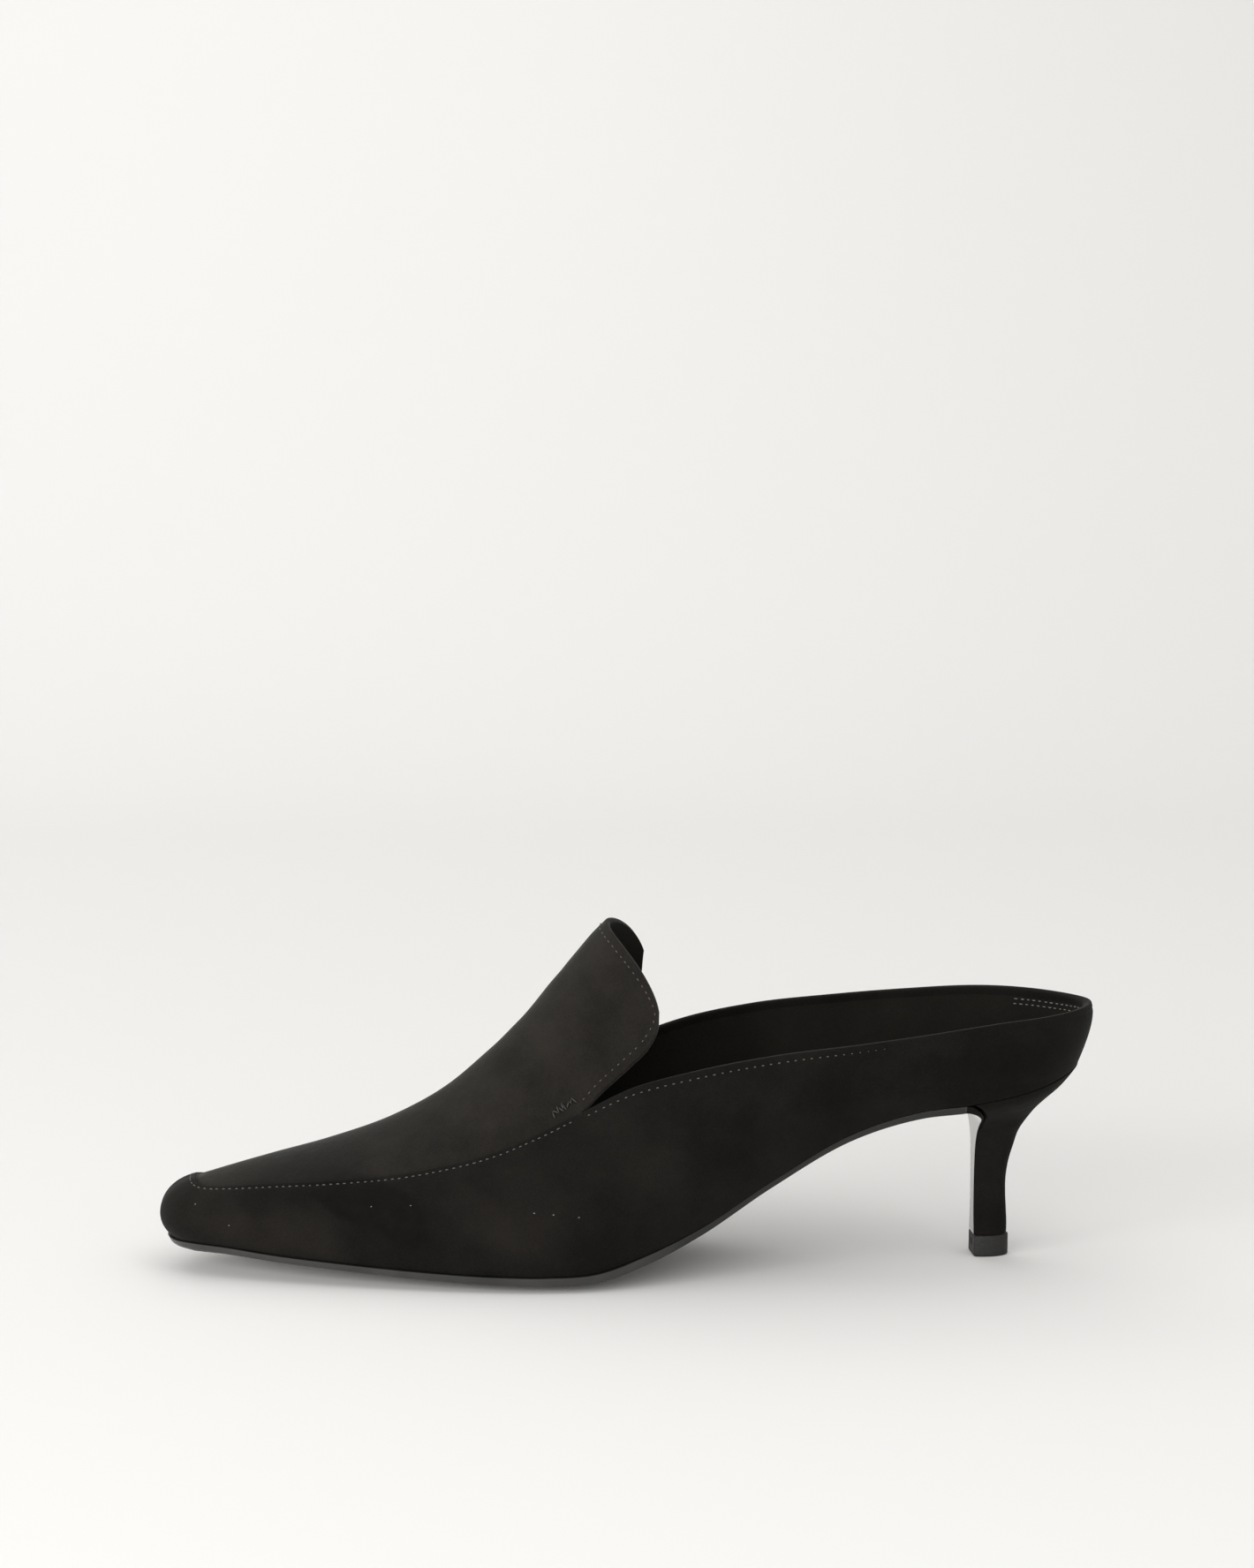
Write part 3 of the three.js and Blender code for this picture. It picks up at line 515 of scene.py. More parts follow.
def leather_look(name, dark, light, rough, grain=900, depth=0.06, coat=0.0, coat_rough=0.25):
    """Smooth leather with a fine pebble and a few rubbed places."""
    look, tree, shader, where = node_look(name)
    cells = add_node(tree, "ShaderNodeTexVoronoi", Scale=grain)
    tree.links.new(where, cells.inputs["Vector"])
    wide = noise(tree, where, 60, 4, 0.6)
    tree.links.new(two_colours(tree, wide, dark, light), shader.inputs["Base Color"])
    rough_by(tree, wide, rough - 0.08, rough + 0.1, shader)
    soft = bump(tree, wide, 0.2, 0.6)
    bump(tree, cells.outputs["Distance"], 0.4, depth, shader, soft)
    set_inputs(shader, Specular_IOR_Level=0.5, Coat_Weight=coat, Coat_Roughness=coat_rough)
    return look


def edge_look(name, dark, light, rough, stretch, scale, depth):
    """Dressed sole edge or sole: faint lines along the shoe, a few scuffs, satin finish."""
    look, tree, shader, where = node_look(name)
    lines = noise(tree, where, scale, 4, 0.6, stretch)
    wide = noise(tree, where, 90, 3, 0.6)
    colour_by(tree, wide, dark, light, shader)
    rough_by(tree, lines, rough - 0.06, rough + 0.14, shader)
    bump(tree, lines, 0.3, depth, shader)
    set_inputs(shader, Specular_IOR_Level=0.5)
    return look


SUEDE = suede_look("black_suede", (0.0022, 0.0018, 0.0014), (0.0094, 0.0080, 0.0065), 0.03)
APRON_SUEDE = suede_look("apron_suede", (0.0052, 0.0044, 0.0035), (0.0160, 0.0138, 0.0114), 0.10)
HEEL_SUEDE = suede_look("heel_suede", (0.0030, 0.0025, 0.0020), (0.0110, 0.0094, 0.0078), 0.015)
CUT_SUEDE = suede_look("cut_suede_edge", (0.014, 0.0135, 0.012), (0.03, 0.029, 0.026), 0.2)
LINING = suede_look("matte_lining", (0.0062, 0.0053, 0.0042), (0.0132, 0.0113, 0.0091), 0.04)
FLAP_FACE = leather_look("breast_flap", (0.010, 0.0098, 0.0094), (0.016, 0.0157, 0.015), 0.16,
                         depth=0.02, coat=1.0, coat_rough=0.08)
SOCK = leather_look("sock_leather", (0.005, 0.0048, 0.0044), (0.01, 0.0095, 0.0085), 0.4, 700,
                    coat=0.1)
SOLE_EDGE = edge_look("sole_edge", (0.006, 0.0056, 0.005), (0.034, 0.0335, 0.032), 0.34,
                      (1, 1, 12), 160, 0.05)
SOLE_FACE = edge_look("sole_face", (0.012, 0.012, 0.0115), (0.024, 0.024, 0.023), 0.42,
                      (0.35, 1, 1), 900, 0.08)
RUBBER = edge_look("tip_rubber", (0.0040, 0.0037, 0.0034), (0.0085, 0.0080, 0.0074), 0.7,
                   (1, 1, 1), 1500, 0.08)


def thread_look(name, colour, rough):
    look, tree, shader, where = node_look(name)
    twist = noise(tree, where, 3200, 1, 0.4)
    shade = [0.55 * c for c in colour]
    tree.links.new(two_colours(tree, twist, shade, colour), shader.inputs["Base Color"])
    rough_by(tree, twist, rough - 0.08, rough + 0.08, shader)
    bump(tree, twist, 0.4, 0.05, shader)
    return look


# The threads are black; the grey of the seam, collar and tongue threads is painted highlight.
THREAD_WITH_PAINTED_HIGHLIGHTS = thread_look("black_thread_painted_highlights", (0.082, 0.077, 0.069), 0.36)
TONGUE_THREAD_WITH_PAINTED_HIGHLIGHTS = thread_look("tongue_thread_painted_highlights", (0.056, 0.052, 0.046), 0.45)
TACK_THREAD = thread_look("tack_thread", (0.026, 0.024, 0.021), 0.6)
# Painted glints: the pale colour of the lining stitches' thread stands in for bright glints on black
# thread.
THREAD_WITH_PAINTED_GLINTS = thread_look("lining_thread_painted_glints", (0.15, 0.145, 0.14), 0.22)
LINT = thread_look("lint", (0.17, 0.155, 0.14), 0.8)


# Patches of nap brushed the other way, and a few marks of painted shade and painted highlight: x, y side,
# z, half width, half height, lean, strength
NAP_AND_PAINTED_LIGHT_MARKS = [
    (57, -1, 23, 13, 6, 1.0, -0.9),
    (67, -1, 17, 6.5, 5, 0.6, -0.6),
    (40, -1, 15, 9, 7, 0.9, 0.25),
    (88, -1, 20, 8, 9, 0.7, 0.3),
    (101, -1, 16, 10, 7, 0.2, 0.18),
    (28, -1, 14, 9, 5, 0.2, 0.16),
    (160, -1, 47, 4, 5, -0.4, -0.3),
    (186, -1, 50, 6, 7, 0.3, -0.22),
    (206, -1, 58, 8, 5, 0.1, 0.16),
    (134, -1, 34, 9, 8, 0.3, 0.14),
    (235, -1, 60, 8, 6, 0.1, -0.16),
    (70, 1, 16, 9, 7, 0.4, -0.3),
    (112, 1, 30, 10, 8, -0.2, 0.2),
    (150, 1, 40, 8, 7, 0.3, -0.24),
    (200, 1, 56, 9, 6, 0.2, 0.18),
    (98, -1, 57, 7, 5, 0.4, -0.22),
    (106, -1, 66, 5, 5, 0.3, 0.2),
    (122, -1, 70, 5, 8, 0.0, -0.16),
    (112, -1, 80, 5, 6, 0.4, 0.16),
    (84, -1, 44, 8, 4, 0.5, 0.16),
    (60, 1, 34, 9, 6, 0.4, -0.2),
    (104, 1, 66, 7, 6, 0.4, -0.2),
    # Painted highlight: this mark lightens the top of the tongue along its front ridge, standing in for
    # sheen light.
    (118, -1, 89, 8, 8, -0.5, 0.35),
    (16, -1, 18, 8, 7, 0.2, 0.3),
    (215, -1, 56, 22, 7, 0.1, -0.25),
    # Painted shade: these two marks darken the heel's flare where it faces down and outwards.
    (238, -1, 46, 22, 7, 0.0, -0.7),
    (238, 1, 46, 22, 7, 0.0, -0.7),
]

# Soft dents and folds of the wall: place on the loop, height share, half sizes, depth in mm
DENTS = [
    (11.6, 0.80, 0.35, 0.12, 0.35),
    (12.6, 0.55, 0.45, 0.20, 0.25),
    (9.2, 0.62, 0.30, 0.16, 0.25),
    (14.2, 0.70, 0.50, 0.20, 0.30),
    (26.8, 0.74, 0.45, 0.16, 0.35),
    (24.4, 0.60, 0.50, 0.20, 0.25),
    (29.4, 0.55, 0.40, 0.20, 0.25),
    (6.4, 0.55, 0.60, 0.18, 0.18),
]

# Soft folds of the apron and tongue: place, side share, half sizes, depth in mm
FOLDS = [
    (12.2, -0.35, 0.35, 0.30, 0.45),
    (11.2, -0.62, 0.30, 0.20, 0.30),
    (13.3, -0.55, 0.40, 0.18, -0.25),
    (12.4, 0.45, 0.40, 0.30, 0.40),
    (9.6, -0.30, 0.40, 0.40, 0.25),
    (10.6, 0.30, 0.45, 0.30, 0.30),
]

# Mesh steps from one place of the loop to the next, and points nearer than this are joined
STEPS, JOIN = 14, 0.004
# How far the collar's fold reaches down inside, and the small rounds of rim and ledge
COLLAR_FOLD, RIM_SOFTNESS, LIP_DEPTH = 2.2, 0.1, 0.26
# How deep and how wide the stitches pull the suede in, and how far the rows are from the edges
STITCH_SINK, STITCH_TROUGH = 0.14, 0.42
SEAM_INSET, COLLAR_INSET, TONGUE_INSET = 1.45, 1.85, 2.35
ROUNDING = 0.25


def dented(q, v, table):
    depth = np.zeros(np.broadcast(q, v).shape)
    for at_q, at_v, half_q, half_v, deep in table:
        depth = depth + deep * bell(q, at_q, half_q) * bell(v, at_v, half_v)
    return depth


def wall_height(q):
    fine = wall(np.asarray(q)[..., None], np.linspace(0.7, 1, 7))
    return np.linalg.norm(np.diff(fine, axis=-2), axis=-1).sum(-1) / 0.3


def is_seam(q):
    place = np.mod(q, LOOP)
    return (place <= THROAT) | (place >= LOOP - THROAT)


# Upper: suede wrap with its ledge, collar rim, lining and recess
def wrap_skin(q, v):
    """Outer face of the wrap, with its dents and the pull of the stitches."""
    points = wall(q, v)
    below = (1 - v) * wall_height(q)
    inset = np.where(is_seam(q), SEAM_INSET, COLLAR_INSET)
    sink = dented(q, v, DENTS) * smooth(v, 0, 0.2) * smooth(1 - v, 0, 0.12)
    sink = sink + STITCH_SINK * bell(below, inset, STITCH_TROUGH)
    return points - wall_normal(q, v) * sink[..., None]


def upper_piece():
    body = Body()
    around = np.linspace(0, LOOP, LOOP * STEPS + 1)
    levels = np.concatenate([eased(0, 0.86, 34, 0.4)[:-1], np.linspace(0.86, 1, 15)])
    grid_q, grid_v = np.meshgrid(around, levels)
    height = wall_height(around)
    outer = wrap_skin(grid_q, grid_v * (1 - ROUNDING / height))
    body.sheet(outer, nap_and_painted_light=blob(outer, NAP_AND_PAINTED_LIGHT_MARKS))
    body.sheet([wall_in(around, 0, WALL), outer[0]])

    # Ledge with a small round on its edge
    floor_depth = LEDGE + APRON_THICKNESS + CLEARANCE
    seam = np.linspace(-THROAT, THROAT, 2 * THROAT * STEPS + 1)
    shoulder = wall_in(seam, 1 - ROUNDING / wall_height(seam), 0)
    crest = wall_in(seam, 1 - 0.3 * ROUNDING / wall_height(seam), 0.06)
    lip = wall_in(seam, 1, LIP_DEPTH)
    body.sheet([shoulder, crest, lip])
    body.sheet([lip, wall_in(seam, 1, floor_depth)], 1)

    # Collar rim, a rolled fold of suede that ends just inside
    collar = np.linspace(THROAT, LOOP - THROAT, (LOOP - 2 * THROAT) * STEPS + 1)
    past = np.minimum(collar - THROAT, LOOP - THROAT - collar)
    crown = RIM_CROWN * smooth(past, 0, 1)
    outer_top = wrap_skin(collar, 1 - ROUNDING / wall_height(collar))
    inner_top = wall_in(collar, 1 - COLLAR_FOLD / wall_height(collar), WALL)
    middle = wall_in(collar, 1, WALL / 2) + UP * crown[:, None]
    near = wall_in(collar, 1, RIM_SOFTNESS) + UP * (0.4 * crown[:, None])
    far = wall_in(collar, 1, WALL - RIM_SOFTNESS) + UP * (0.4 * crown[:, None])
    start, end = mix(near, middle, 0.5), mix(middle, far, 0.5)
    rim = [outer_top]
    for pulls in ((outer_top, near, near, start),
                  (start, mix(start, middle, 0.6), mix(end, middle, 0.6), end),
                  (end, far, far, inner_top)):
        rim.extend(bezier(*pulls, t) for t in np.linspace(0, 1, 5)[1:])
    rim = np.array(rim)
    body.sheet(rim)

    # Lining, which ends below the rim's fold
    inner_levels = np.concatenate([eased(0, 0.8, 16, 0.3)[:-1], np.linspace(0.8, 1, 14)])
    inner_q, inner_v = np.meshgrid(around, inner_levels)
    cap = np.where(is_seam(around), 0, COLLAR_FOLD) / height
    body.sheet(wall_in(inner_q, inner_v * (1 - cap), WALL), 2, flip=True)

    # Recess floor and ceiling below the apron
    across = np.linspace(-CORNER, CORNER, 2 * CORNER * STEPS + 1)
    along = np.linspace(CORNER, THROAT, (THROAT - CORNER) * STEPS + 1)
    body.sheet(apron_rows(along, across, floor_depth), 1, flip=True)
    body.sheet(apron_rows(along, across, WALL), 2)
    body.sheet([apron_rows(along[-1:], across, depth)[0] for depth in (WALL, floor_depth)], 1)

    # The rim's two ends at the throat
    for q, i in ((THROAT, 0), (LOOP - THROAT, -1)):
        line = wall_in(q, 1, np.linspace(0, WALL, 9))
        top = rim[:, i][np.linspace(0, len(rim) - 1, 9).round().astype(int)]
        body.sheet([line, top], flip=i < 0)
    piece = body.make("upper_wrap", [SUEDE, CUT_SUEDE, LINING], crease=50)
    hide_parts("upper")


def apron_rows(along, across, depth):
    """Grid below the apron, with its border on the wall's edge at the same depth."""
    q, c = np.meshgrid(along, across, indexing="ij")
    rows = apron(q, c / CORNER) - apron_normal(q, c / CORNER) * (depth - LEDGE)
    rows[:, 0], rows[:, -1] = wall_in(along, 1, depth), wall_in(LOOP - along, 1, depth)
    if along[0] == CORNER:
        rows[0] = wall_in(-across, 1, depth)
    return rows


# The tongue grows to its full thickness over this run, and its folded edge swells a little
THICKENING, EDGE_SWELL = 0.8, 0.35


def apron_skin(q, s, depth=0.0):
    points = apron(q, s)
    normal = apron_normal(q, s)
    sink = dented(q, s, FOLDS) * smooth(1 - np.abs(s), 0, 0.15) * smooth(TONGUE_END - q, 0, 0.5)
    return points - normal * (sink + depth)[..., None]


def free_edge(q, s, depth):
    """The tongue's edge just over the rim, still turned like the wall there."""
    freed = smooth(q, THROAT, THROAT + 1.5)
    edge = apron(q, s)
    inward = unit(apron(q, 0.97 * s) - edge) * (CLEARANCE * (1 - freed))[..., None]
    turned = wall_normal(loop_place(s, THROAT), 1)
    normal = unit(mix(turned, apron_normal(q, s), freed[..., None]))
    return edge + inward - normal * depth[..., None]


def apron_grid(along, across, depth):
    q, c = np.meshgrid(along, across, indexing="ij")
    below = depth(q)
    rows = apron_skin(q, c / CORNER, below)
    for k, side in ((0, -1), (-1, 1)):
        held = wall_in(loop_place(side, along), 1, LEDGE + below[:, k])
        free = free_edge(along, side, below[:, k])
        rows[:, k] = np.where((along <= THROAT)[:, None], held, free)
    rows[0] = wall_in(-across, 1, LEDGE + below[0])
    return rows


def apron_piece():
    body = Body()
    crowd = math.pi / 2 * 0.94
    across = CORNER * np.sin(np.linspace(-1, 1, 91) * crowd) / math.sin(crowd)
    along = np.concatenate([np.linspace(CORNER, THROAT, 99)[:-1],
                            np.linspace(THROAT, TONGUE_END - 0.25, 74)[:-1],
                            np.linspace(TONGUE_END - 0.25, TONGUE_END, 8)])
    gap = np.linalg.norm(apron(THROAT + 1, 0) - apron(THROAT, 0))
    start = THROAT + 2 * CLEARANCE / gap
    end = start + THICKENING / gap
    thick = lambda q: mix(APRON_THICKNESS, TONGUE_THICKNESS, smooth(q, start, end))
    levels = [0.0, 0.06, 0.2, 0.5, 0.8, 0.94, 1.0]
    layers = [apron_grid(along, across, lambda q, w=w: w * thick(q)) for w in levels]
    face = layers[0]
    body.sheet(face, flip=True, nap_and_painted_light=blob(face, NAP_AND_PAINTED_LIGHT_MARKS))
    body.sheet(layers[-1], 1)

    # The free edges bulge a little, as a folded and stitched edge does
    borders = ((0,), (-1,), (slice(None), 0), (slice(None), -1))
    toe, top, lateral, medial = (np.array([layer[at] for layer in layers]) for at in borders)
    free = smooth(along, THROAT + 0.3, THROAT + 1.2)
    swell = (np.sin(np.array(levels) * math.pi) * EDGE_SWELL)[:, None, None]
    top += unit(face[-1] - face[-2]) * swell
    lateral += unit(face[:, 0] - face[:, 1]) * (swell * free[:, None])
    medial += unit(face[:, -1] - face[:, -2]) * (swell * free[:, None])
    lateral[:, -1], medial[:, -1] = top[:, 0], top[:, -1]
    for strip, flip in ((toe, True), (top, False), (lateral, False), (medial, True)):
        body.sheet(strip[::-1], flip=flip)
    piece = body.make("apron_and_tongue", [APRON_SUEDE, LINING], crease=50)
    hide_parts("apron_tongue")


def cross_row(lateral, medial, shares, rise):
    point = mix(lateral[..., None, :], medial[..., None, :], ((shares + 1) / 2)[:, None])
    return point + UP * (np.asarray(rise)[..., None] * (1 - shares * shares))[..., None]


# Insole with its sock
def insole_piece():
    body = Body()
    rows = np.concatenate([np.linspace(0, 0.4, 10)[:-1], np.linspace(0.4, LAST - 0.6, 150)[:-1],
                           np.linspace(LAST - 0.6, LAST, 14)])
    shares = np.sin(np.linspace(-1, 1, 41) * math.pi / 2)

    def level(inset, up, dish):
        lateral, medial = (foot_at(q, -WALL - inset, up) for q in (rows, LOOP - rows))
        width = np.linalg.norm(lateral - medial, axis=-1) / BALL_WIDTH
        return cross_row(lateral, medial, shares, -dish * width)

    top = level(0.55, INSOLE_THICKNESS, INSOLE_DISH)
    shoulder = level(0.12, INSOLE_THICKNESS - 0.35, INSOLE_DISH)
    foot = level(0.3, 0, 0)
    body.sheet(top, flip=True)
    for k, flip in ((0, False), (-1, True)):
        body.sheet([foot[:, k], shoulder[:, k], top[:, k]], flip=flip)
    body.sheet(foot)
    piece = body.make("insole_sock", [SOCK], crease=60)
    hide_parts("insole")


# Outsole
def sole_value(q, forepart, waist):
    return mix(forepart, waist, smooth(q, THROAT, THROAT + 3))


def sole_thick(q):
    return loop(q)[..., 6] * EDGE_THICKNESS


# The sole turns down the breast of the heel from this place on, round this centre
TURN_Q = BREAST - 0.125
TURN_THICKNESS = float(sole_thick(TURN_Q))
TURN = foot_at(TURN_Q, 0.0, -CLEARANCE - TURN_THICKNESS - BREAST_RADIUS)
BREAST_FACE = float(TURN[0]) + BREAST_RADIUS
SEAT_BACK = FEATHER[LAST, 0] * LENGTH
HEEL_FOOT = TIP_HEIGHT + CLEARANCE
HEEL_CURVE = Curve(HEEL, np.diff(HEEL[:, 0]))
HEEL_STEPS = 160


def heel_value(key, rise):
    i = int(np.clip(np.searchsorted(HEEL[:, 0], rise) - 1, 0, len(HEEL) - 2))
    f = (rise - HEEL[i, 0]) / (HEEL[i + 1, 0] - HEEL[i, 0])
    return float(HEEL_CURVE.at(i + f)[key])


SEAT_RING = foot_at(np.linspace(BREAST, LOOP - BREAST, HEEL_STEPS + 1), 0.0, -CLEARANCE)
SEAT_FRONT = SEAT_RING[0]
SEAT_HALF = -SEAT_FRONT[1]


# How a section of the heel swells past its flat front, as shares of its half width
SIDE_PLACE, SIDE_SWELL, BACK_SWELL = 0.35, 1.28, 1.05


def section(turn, half, flat):
    t = (np.minimum(turn, 1 - turn) * 2)[:, None]
    points = bezier(np.array([0, flat]), np.array([SIDE_PLACE, half * SIDE_SWELL]),
                    np.array([1, half * BACK_SWELL]), np.array([1, 0.0]), t)
    points[:, 1] *= np.where(turn < 0.5, -1, 1)
    return points


def heel_front(z, back, gap):
    """Front of the heel at a height, set back behind the turn of the sole."""
    over = max(0.0, z - TURN[2]) / (BREAST_RADIUS + TURN_THICKNESS + gap)
    if over == 0:
        return BREAST_FACE + back
    across = (BREAST_RADIUS + back + gap) * math.sqrt(max(0.0, 1 - over * over))
    return min(BREAST_FACE + back, max(TURN[0] + across, SEAT_FRONT[0]))


def cover_front(z):
    """The cover's front edge is flush with the flap, and sets back behind the turned sole."""
    turned = float(smooth(z, TURN[2] - BREAST_RADIUS / 2, TURN[2]))
    return heel_front(z, mix(0, FLAP_THICKNESS + CLEARANCE, turned), mix(0, ROLL_CLEARANCE, turned))


def heel_ring(rise):
    front = cover_front(mix(HEEL_FOOT, SEAT_FRONT[2], rise))
    back = mix(BREAST_FACE + FLAP_THICKNESS + CLEARANCE, SEAT_BACK, heel_value(1, rise))
    half, flat = heel_value(2, rise), heel_value(3, rise)
    share = float(smooth(rise, 0.5, 1))
    column = section(np.linspace(0, 1, HEEL_STEPS + 1), half, flat)
    x = mix(column[:, 0], (SEAT_RING[:, 0] - SEAT_FRONT[0]) / (SEAT_BACK - SEAT_FRONT[0]), share)
    y = mix(column[:, 1] * SEAT_HALF, SEAT_RING[:, 1] * half, share)
    return np.column_stack([mix(front, back, x), y, mix(HEEL_FOOT, SEAT_RING[:, 2], rise)])


def breast_row(ring):
    """Front of the heel: a lip at either side and the recess for the flap between them."""
    z = ring[0, 2]
    floor = heel_front(z, FLAP_THICKNESS + CLEARANCE, ROLL_CLEARANCE)
    half = ring[-1, 1] - RECESS_LIP
    corners = np.array([ring[-1], [floor, half, z], [floor, -half, z], ring[0]])
    parts = [mix(corners[0], corners[1], np.linspace(0, 1, 6)[1:, None]),
             mix(corners[1], corners[2], np.linspace(0, 1, 32)[1:, None]),
             mix(corners[2], corners[3], np.linspace(0, 1, 6)[1:-1, None])]
    return np.vstack(parts)


def outsole_piece():
    body = Body()
    rows = np.concatenate([np.linspace(0, 0.5, 12)[:-1], np.linspace(0.5, BREAST - 1, 170)[:-1],
                           np.linspace(BREAST - 1, TURN_Q, 12)])
    shares = np.sin(np.linspace(-1, 1, 49) * math.pi / 2)
    over = sole_value(rows, SOLE_OVERHANG, -WAIST_TUCK)
    thick = sole_thick(rows)

    def sides(out, up):
        return foot_at(rows, out, up), foot_at(LOOP - rows, out, up)

    crown = sole_value(rows, SOLE_CROWN, 0) * np.minimum(rows / CORNER, 1)
    top = cross_row(*sides(over, -CLEARANCE), shares, 0)
    bottom = cross_row(*sides(over - SOLE_BEVEL, -CLEARANCE - thick), shares, -crown)
    bottom[..., 2] = np.maximum(bottom[..., 2], 0)
    flap_half = lambda z: -heel_ring((z - HEEL_FOOT) / (SEAT_FRONT[2] - HEEL_FOOT))[0, 1] - FLAP_MARGIN
    waist_half = -bottom[-1, 0, 1]
    extra_top, extra_bottom = [], []
    line = lambda x, z, half: np.column_stack([0 * shares + x, shares * half, 0 * shares + z])

    # Turn of the sole, then the flap down the breast
    for angle in np.linspace(0, math.pi / 2, 21)[1:]:
        turned, height = math.sin(angle), math.cos(angle)
        z = TURN[2] + BREAST_RADIUS * height
        outer = BREAST_RADIUS + mix(TURN_THICKNESS, FLAP_THICKNESS, turned)
        width = mix(waist_half, flap_half(z), turned * turned)
        extra_bottom.append(line(TURN[0] + BREAST_RADIUS * turned, z, width))
        extra_top.append(line(TURN[0] + outer * turned, TURN[2] + outer * height, width))
    for z in np.linspace(TURN[2], HEEL_FOOT, 44)[1:]:
        extra_bottom.append(line(BREAST_FACE, z, flap_half(z)))
        extra_top.append(line(BREAST_FACE + FLAP_THICKNESS, z, flap_half(z)))
    top = np.concatenate([top, extra_top])
    bottom = np.concatenate([bottom, extra_bottom])
    body.sheet(top, flip=True)
    body.sheet(bottom[:len(rows)], 1)
    body.sheet(bottom[len(rows) - 1:], 2)
    body.sheet([bottom[-1], top[-1]])

    # Edge with soft corners at its top and its tread side
    for k, flip in ((0, False), (-1, True)):
        aside = unit(top[:, k] - top[:, len(shares) // 2])
        profile = [bottom[:, k]]
        for t, out in ((0.06, 0), (0.5, 0.1), (0.9, 0.04)):
            profile.append(mix(bottom[:, k], top[:, k], t) + aside * out)
        profile = np.array(profile + [top[:, k]])
        # Painted light on the edge's colour: slightly lighter along the forepart, a painted reflection of
        # the floor, and dark along the waist, painted shade where the edge tucks in under the upper.
        painted_edge_light_and_shade = mix(0.15, -0.75, smooth(rows, THROAT, THROAT + 3)) + np.zeros((len(profile), 1))
        body.sheet(profile[:, :len(rows)], 0, flip, painted_edge_light_and_shade)
        body.sheet(profile[:, len(rows) - 1:], 3, flip)
    looks = [SOLE_EDGE, SOLE_FACE, FLAP_FACE, HEEL_SUEDE]
    piece = body.make("outsole_shell", looks, crease=38)
    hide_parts("outsole")


def distances(path):
    return np.concatenate([[0], np.cumsum(spans(path))])


def between(at, run, rows):
    """Rows at the places given, where the rows lie at the distances in run."""
    return np.column_stack([np.interp(at, run, column) for column in np.transpose(rows)])


def closed_ring(points, count, passes):
    """The ring at even steps with its corners a little rounded."""
    path = np.vstack([points, points[:1]])
    run = distances(path)
    ring = between(np.linspace(0, run[-1], count + 1)[:-1], run, path)
    for _ in range(passes):
        ring = (np.roll(ring, 1, 0) + 2 * ring + np.roll(ring, -1, 0)) / 4
    return ring


def heel_piece():
    body = Body()
    rises = np.concatenate([[0, 0.004, 0.012], np.linspace(0.02, 0.9, 60), np.linspace(0.9, 1, 22)[1:]])
    rings = []
    for rise in rises:
        ring = heel_ring(rise)
        rings.append(closed_ring(np.vstack([ring, breast_row(ring)]), 240, 1))
    rings = np.array(rings)
    for i, keep in enumerate((0.955, 0.985)):
        rings[i] = mix(rings[i].mean(0), rings[i], keep)
    closed = np.concatenate([rings, rings[:, :1]], 1)
    body.sheet(closed, nap_and_painted_light=blob(closed, NAP_AND_PAINTED_LIGHT_MARKS))
    for ring, flip in ((closed[0], True), (closed[-1], False)):
        middle = np.repeat(ring.mean(0)[None], len(ring), 0)
        body.sheet([ring, mix(ring, middle, 0.5), mix(ring, middle, 0.98)], flip=flip)
    piece = body.make("heel_cover", [HEEL_SUEDE], crease=50)
    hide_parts("heel")


# Soft edges of the tip: height in mm and the share of its full size
TIP_PROFILE = ((0, 0.93), (0.12, 0.975), (0.4, 1), (2, 1), (4, 1), (5.6, 1), (5.9, 0.985),
               (TIP_HEIGHT, 0.96))


def tip_piece():
    body = Body()
    turn = np.linspace(0, 1, 61)
    shape = section(turn, TIP_HALF, TIP_HALF)
    base = np.column_stack([BREAST_FACE + shape[:, 0] * TIP_DEPTH, shape[:, 1] * TIP_WIDTH, 0 * turn])
    breast = mix(base[-1], base[0], np.linspace(0, 1, 21)[1:-1, None])
    ring = closed_ring(np.vstack([base, breast]), 128, 2)
    middle = ring.mean(0)
    rows = []
    for z, keep in TIP_PROFILE:
        rows.append(mix(middle, ring, keep) * [1, 1, 0] + UP * z)
    rows = np.array(rows)
    closed = np.concatenate([rows, rows[:, :1]], 1)
    body.sheet(closed)
    for row, flip in ((closed[0], True), (closed[-1], False)):
        inner = np.repeat(row.mean(0)[None], len(row), 0)
        body.sheet([row, mix(row, inner, 0.98), inner], flip=flip)
    piece = body.make("tip_block", [RUBBER], crease=40)
    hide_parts("top_piece")

    # Moulded dimple, a shallow round cup cut into the front face
    tool_mesh = bpy.data.meshes.new("dimple_tool")
    work = bmesh.new()
    radius = DIMPLE_DIAMETER / 2 * MM
    bmesh.ops.create_cone(work, cap_ends=True, segments=40, radius1=radius, radius2=radius * DIMPLE_TAPER,
                          depth=2 * DIMPLE_DEPTH * MM)
    work.to_mesh(tool_mesh)
    work.free()
    tool = add_object("dimple_tool", tool_mesh)
    tool.rotation_euler = (0, math.pi / 2, 0)
    tool.location = place([BREAST_FACE, 0, DIMPLE_HEIGHT * TIP_HEIGHT])
    cut = piece.modifiers.new("cut", "BOOLEAN")
    cut.operation, cut.object, cut.solver = "DIFFERENCE", tool, "EXACT"
    graph = bpy.context.evaluated_depsgraph_get()
    result = bpy.data.meshes.new_from_object(piece.evaluated_get(graph))
    piece.modifiers.clear()
    piece.data = result
    bpy.data.objects.remove(tool)


# Stitches
THREAD_RINGS, THREAD_SIDES = 7, 8


